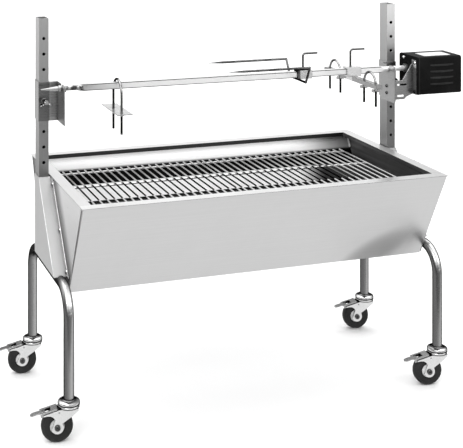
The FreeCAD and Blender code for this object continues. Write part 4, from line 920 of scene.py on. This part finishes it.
# dark rings of painted shade in the caster race gaps, race beads, tyre side rings and hub ribs
HEAD = math.radians(-8.0)
CASTERS = {
    "front_left": (-493.0, -195.0),
    "front_right": (493.0, -195.0),
    "rear_left": (-493.0, 187.0),
    "rear_right": (493.0, 187.0),
}
for key, (cx, cy) in CASTERS.items():
    body = key + "_caster"
    m = frame_at((cx, cy, 0.0), (0, 0, 1))
    # dark ring in the gap between the race tiers: painted shade
    v, f = lathe([(24.2, 86.0), (25.15, 86.1), (25.35, 86.5), (25.15, 86.85), (24.2, 86.9)], m, 48)
    piece(key + "_race_gap_shade_ring", v, f, "gap_shade", body)
    v, f = lathe([(24.7, 83.2), (25.5, 83.5), (25.9, 84.1), (25.5, 84.7), (24.7, 85.0)], m, 48)
    piece(key + "_race_bead", v, f, "zinc", body)
    wx = cx - 28.0 * math.cos(HEAD)
    wy = cy - 28.0 * math.sin(HEAD)
    axis = (-math.sin(HEAD), math.cos(HEAD), 0)
    m = frame_at((wx, wy, 37.5), axis)
    rings = []
    for s in (-1, 1):
        rings.append(lathe([(29.6, s * 11.4), (30.0, s * 12.1), (30.9, s * 12.35), (31.8, s * 12.0), (32.2, s * 11.3)], m, 56))
        rings.append(lathe([(18.2, s * 9.4), (18.8, s * 10.5), (19.6, s * 10.9), (20.4, s * 10.4), (20.8, s * 10.0)], m, 48))
    v, f = join(rings)
    piece(key + "_tyre_rings", v, f, "rubber", key + "_wheel")
    ribs = []
    for k in range(6):
        a = 2 * math.pi * k / 6
        for s in (-1, 1):
            v = []
            for r, w, z in ((8.2, 1.3, 10.0), (15.6, 1.0, 8.75), (8.2, 1.3, 8.0), (15.6, 1.0, 7.4)):
                for t in (-1, 1):
                    p = Vector((r * math.cos(a) - t * w * math.sin(a), r * math.sin(a) + t * w * math.cos(a), s * z)) / 1000
                    v.append(m @ p)
            f = [(0, 1, 3, 2), (4, 6, 7, 5), (0, 4, 5, 1), (2, 3, 7, 6), (0, 2, 6, 4), (1, 5, 7, 3)]
            ribs.append((v, f))
    v, f = join(ribs)
    piece(key + "_hub_ribs", v, f, "hub", key + "_wheel", smooth=False)

# ------------------------------------------------------------- floor and light
me = bpy.data.meshes.new("floor")
me.from_pydata([(-80, -80, 0), (80, -80, 0), (80, 80, 0), (-80, 80, 0)], [], [(0, 1, 2, 3)])
floor = bpy.data.objects.new("floor", me)
bpy.context.scene.collection.objects.link(floor)
n = Net("floor_pale")
mottle = n.noise(n.co, 3.0, 4.0)
n.set(Base_Color=n.grey(n.remap(mottle, 0.3, 0.7, 0.93, 0.945)), Roughness=n.remap(mottle, 0.3, 0.7, 0.85, 0.95), Normal=n.bump(n.noise(n.co, 400.0, 3.0), 0.05, 0.0002))
n.bsdf.inputs["Specular IOR Level"].default_value = 0.1
# in reflections the studio floor is a painted glow that dims toward the camera and lifts again far right
p = n.xyz()
t = n.math("MULTIPLY", p[1], -1.0)
far = n.math("ADD", 0.20, n.remap(t, 2.2, 7.0, 0.0, 0.36, smooth=True))
far = n.math("ADD", far, n.math("MULTIPLY", n.remap(t, 4.0, 6.8, 0.0, 1.2, smooth=True), n.remap(p[0], 1.5, 3.4, 0.0, 1.0, smooth=True)))
w = n.remap(t, 0.50, 0.85, 0.0, 1.0, smooth=True)
seen = n.math("ADD", n.math("MULTIPLY", w, far), n.math("MULTIPLY", n.math("SUBTRACT", 1.0, w), 0.85))
glow = n.t.nodes.new("ShaderNodeEmission")
n.t.links.new(seen, glow.inputs["Strength"])
ray = n.t.nodes.new("ShaderNodeLightPath")
pick = n.t.nodes.new("ShaderNodeMixShader")
n.t.links.new(ray.outputs["Is Glossy Ray"], pick.inputs[0])
n.t.links.new(n.bsdf.outputs[0], pick.inputs[1])
n.t.links.new(glow.outputs[0], pick.inputs[2])
n.t.links.new(pick.outputs[0], n.out.inputs[0])
me.materials.append(n.mat)

world = bpy.data.worlds.new("studio")
bpy.context.scene.world = world
world.use_nodes = True
wt = world.node_tree
wt.nodes.clear()


def wmath(op, a, b=0.0, c=None, clamp=False):
    n = wt.nodes.new("ShaderNodeMath")
    n.operation = op
    n.use_clamp = clamp
    for s, v in zip(n.inputs, (a, b, c)):
        if v is None:
            continue
        if isinstance(v, bpy.types.NodeSocket):
            wt.links.new(v, s)
        else:
            s.default_value = v
    return n.outputs[0]


def wstep(v, a, b, c, e):
    n = wt.nodes.new("ShaderNodeMapRange")
    n.interpolation_type = "SMOOTHSTEP"
    wt.links.new(v, n.inputs["Value"])
    for i, x in zip((1, 2, 3, 4), (a, b, c, e)):
        n.inputs[i].default_value = x
    return n.outputs[0]


def lobe(direction, inner, outer, gain):
    """Soft round light in the surroundings, in one direction."""
    d = Vector(direction).normalized()
    n = wt.nodes.new("ShaderNodeVectorMath")
    n.operation = "DOT_PRODUCT"
    wt.links.new(coord.outputs["Generated"], n.inputs[0])
    n.inputs[1].default_value = d
    return wstep(n.outputs["Value"], math.cos(math.radians(outer)), math.cos(math.radians(inner)), 0.0, gain)


coord = wt.nodes.new("ShaderNodeTexCoord")
sep = wt.nodes.new("ShaderNodeSeparateXYZ")
wt.links.new(coord.outputs["Generated"], sep.inputs[0])
X, Y, Z = sep.outputs
level = wstep(Y, -0.35, 0.45, 0.32, 0.95)
level = wmath("ADD", level, wstep(Z, 0.35, 0.95, 0.0, 0.45))
# darker cards to both sides of the object, so that tubes show dark edges
side = wmath("ABSOLUTE", wmath("ADD", wmath("MULTIPLY", X, 0.953), wmath("MULTIPLY", Y, 0.302)))
card = wstep(side, 0.72, 0.93, 0.0, 0.80)
low = wstep(Z, 0.75, 0.35, 0.0, 1.0)
level = wmath("MULTIPLY", level, wmath("SUBTRACT", 1.0, wmath("MULTIPLY", card, low)))
for args in (((-0.55, -0.75, 0.55), 14, 30, 1.3), ((0.26, -0.77, 0.56), 10, 28, 0.9), ((0.0, 0.2, 1.0), 22, 52, 1.2)):
    level = wmath("ADD", level, lobe(*args))
path = wt.nodes.new("ShaderNodeLightPath")
mixed = wt.nodes.new("ShaderNodeMix")
mixed.data_type = "FLOAT"
wt.links.new(path.outputs["Is Camera Ray"], mixed.inputs["Factor"])
wt.links.new(level, mixed.inputs["A"])
mixed.inputs["B"].default_value = 0.93
bg = wt.nodes.new("ShaderNodeBackground")
wt.links.new(mixed.outputs["Result"], bg.inputs["Strength"])
bg.inputs["Color"].default_value = (1, 1, 1, 1)
wo = wt.nodes.new("ShaderNodeOutputWorld")
wt.links.new(bg.outputs[0], wo.inputs[0])


def area(name, place, aim, size, watts):
    data = bpy.data.lights.new(name, "AREA")
    data.energy = watts
    data.size = size
    o = bpy.data.objects.new(name, data)
    o.location = place
    o.rotation_euler = (Vector(aim) - Vector(place)).to_track_quat("-Z", "Y").to_euler()
    bpy.context.scene.collection.objects.link(o)
    return o


area("key", (-2.6, -3.2, 4.2), (0, 0, 0.5), 3.0, 95)
area("fill", (3.4, -2.4, 2.6), (0, 0, 0.4), 2.4, 30)

# ------------------------------------------------------------------- camera
cam_data = bpy.data.cameras.new("camera")
cam = bpy.data.objects.new("camera", cam_data)
bpy.context.scene.collection.objects.link(cam)
cam_x = MID - 1.176
cam.location = (cam_x, -2.8245, 1.3491)
cam.rotation_mode = "XYZ"
cam.rotation_euler = (math.radians(90), 0, math.radians(-17.579))
cam_data.sensor_width = 36
cam_data.sensor_fit = "AUTO"
cam_data.lens = 90.21
cam_data.clip_start = 0.05
cam_data.clip_end = 200
for path_name, value in (("shift_x", 0.2192), ("shift_y", -0.780)):
    d = cam_data.driver_add(path_name).driver
    d.type = "SCRIPTED"
    var = d.variables.new()
    var.name = "x"
    var.type = "TRANSFORMS"
    var.targets[0].id = cam
    var.targets[0].transform_type = "LOC_X"
    var.targets[0].transform_space = "WORLD_SPACE"
    d.expression = "%.4f if fabs(x - (%.5f)) < 0.0004 else 0.0" % (value, cam_x)
bpy.context.scene.camera = cam
bpy.context.view_layer.update()

scene = bpy.context.scene
scene.view_settings.view_transform = "Standard"
scene.view_settings.look = "None"
scene.view_settings.exposure = 0.0
scene.view_settings.gamma = 1.0
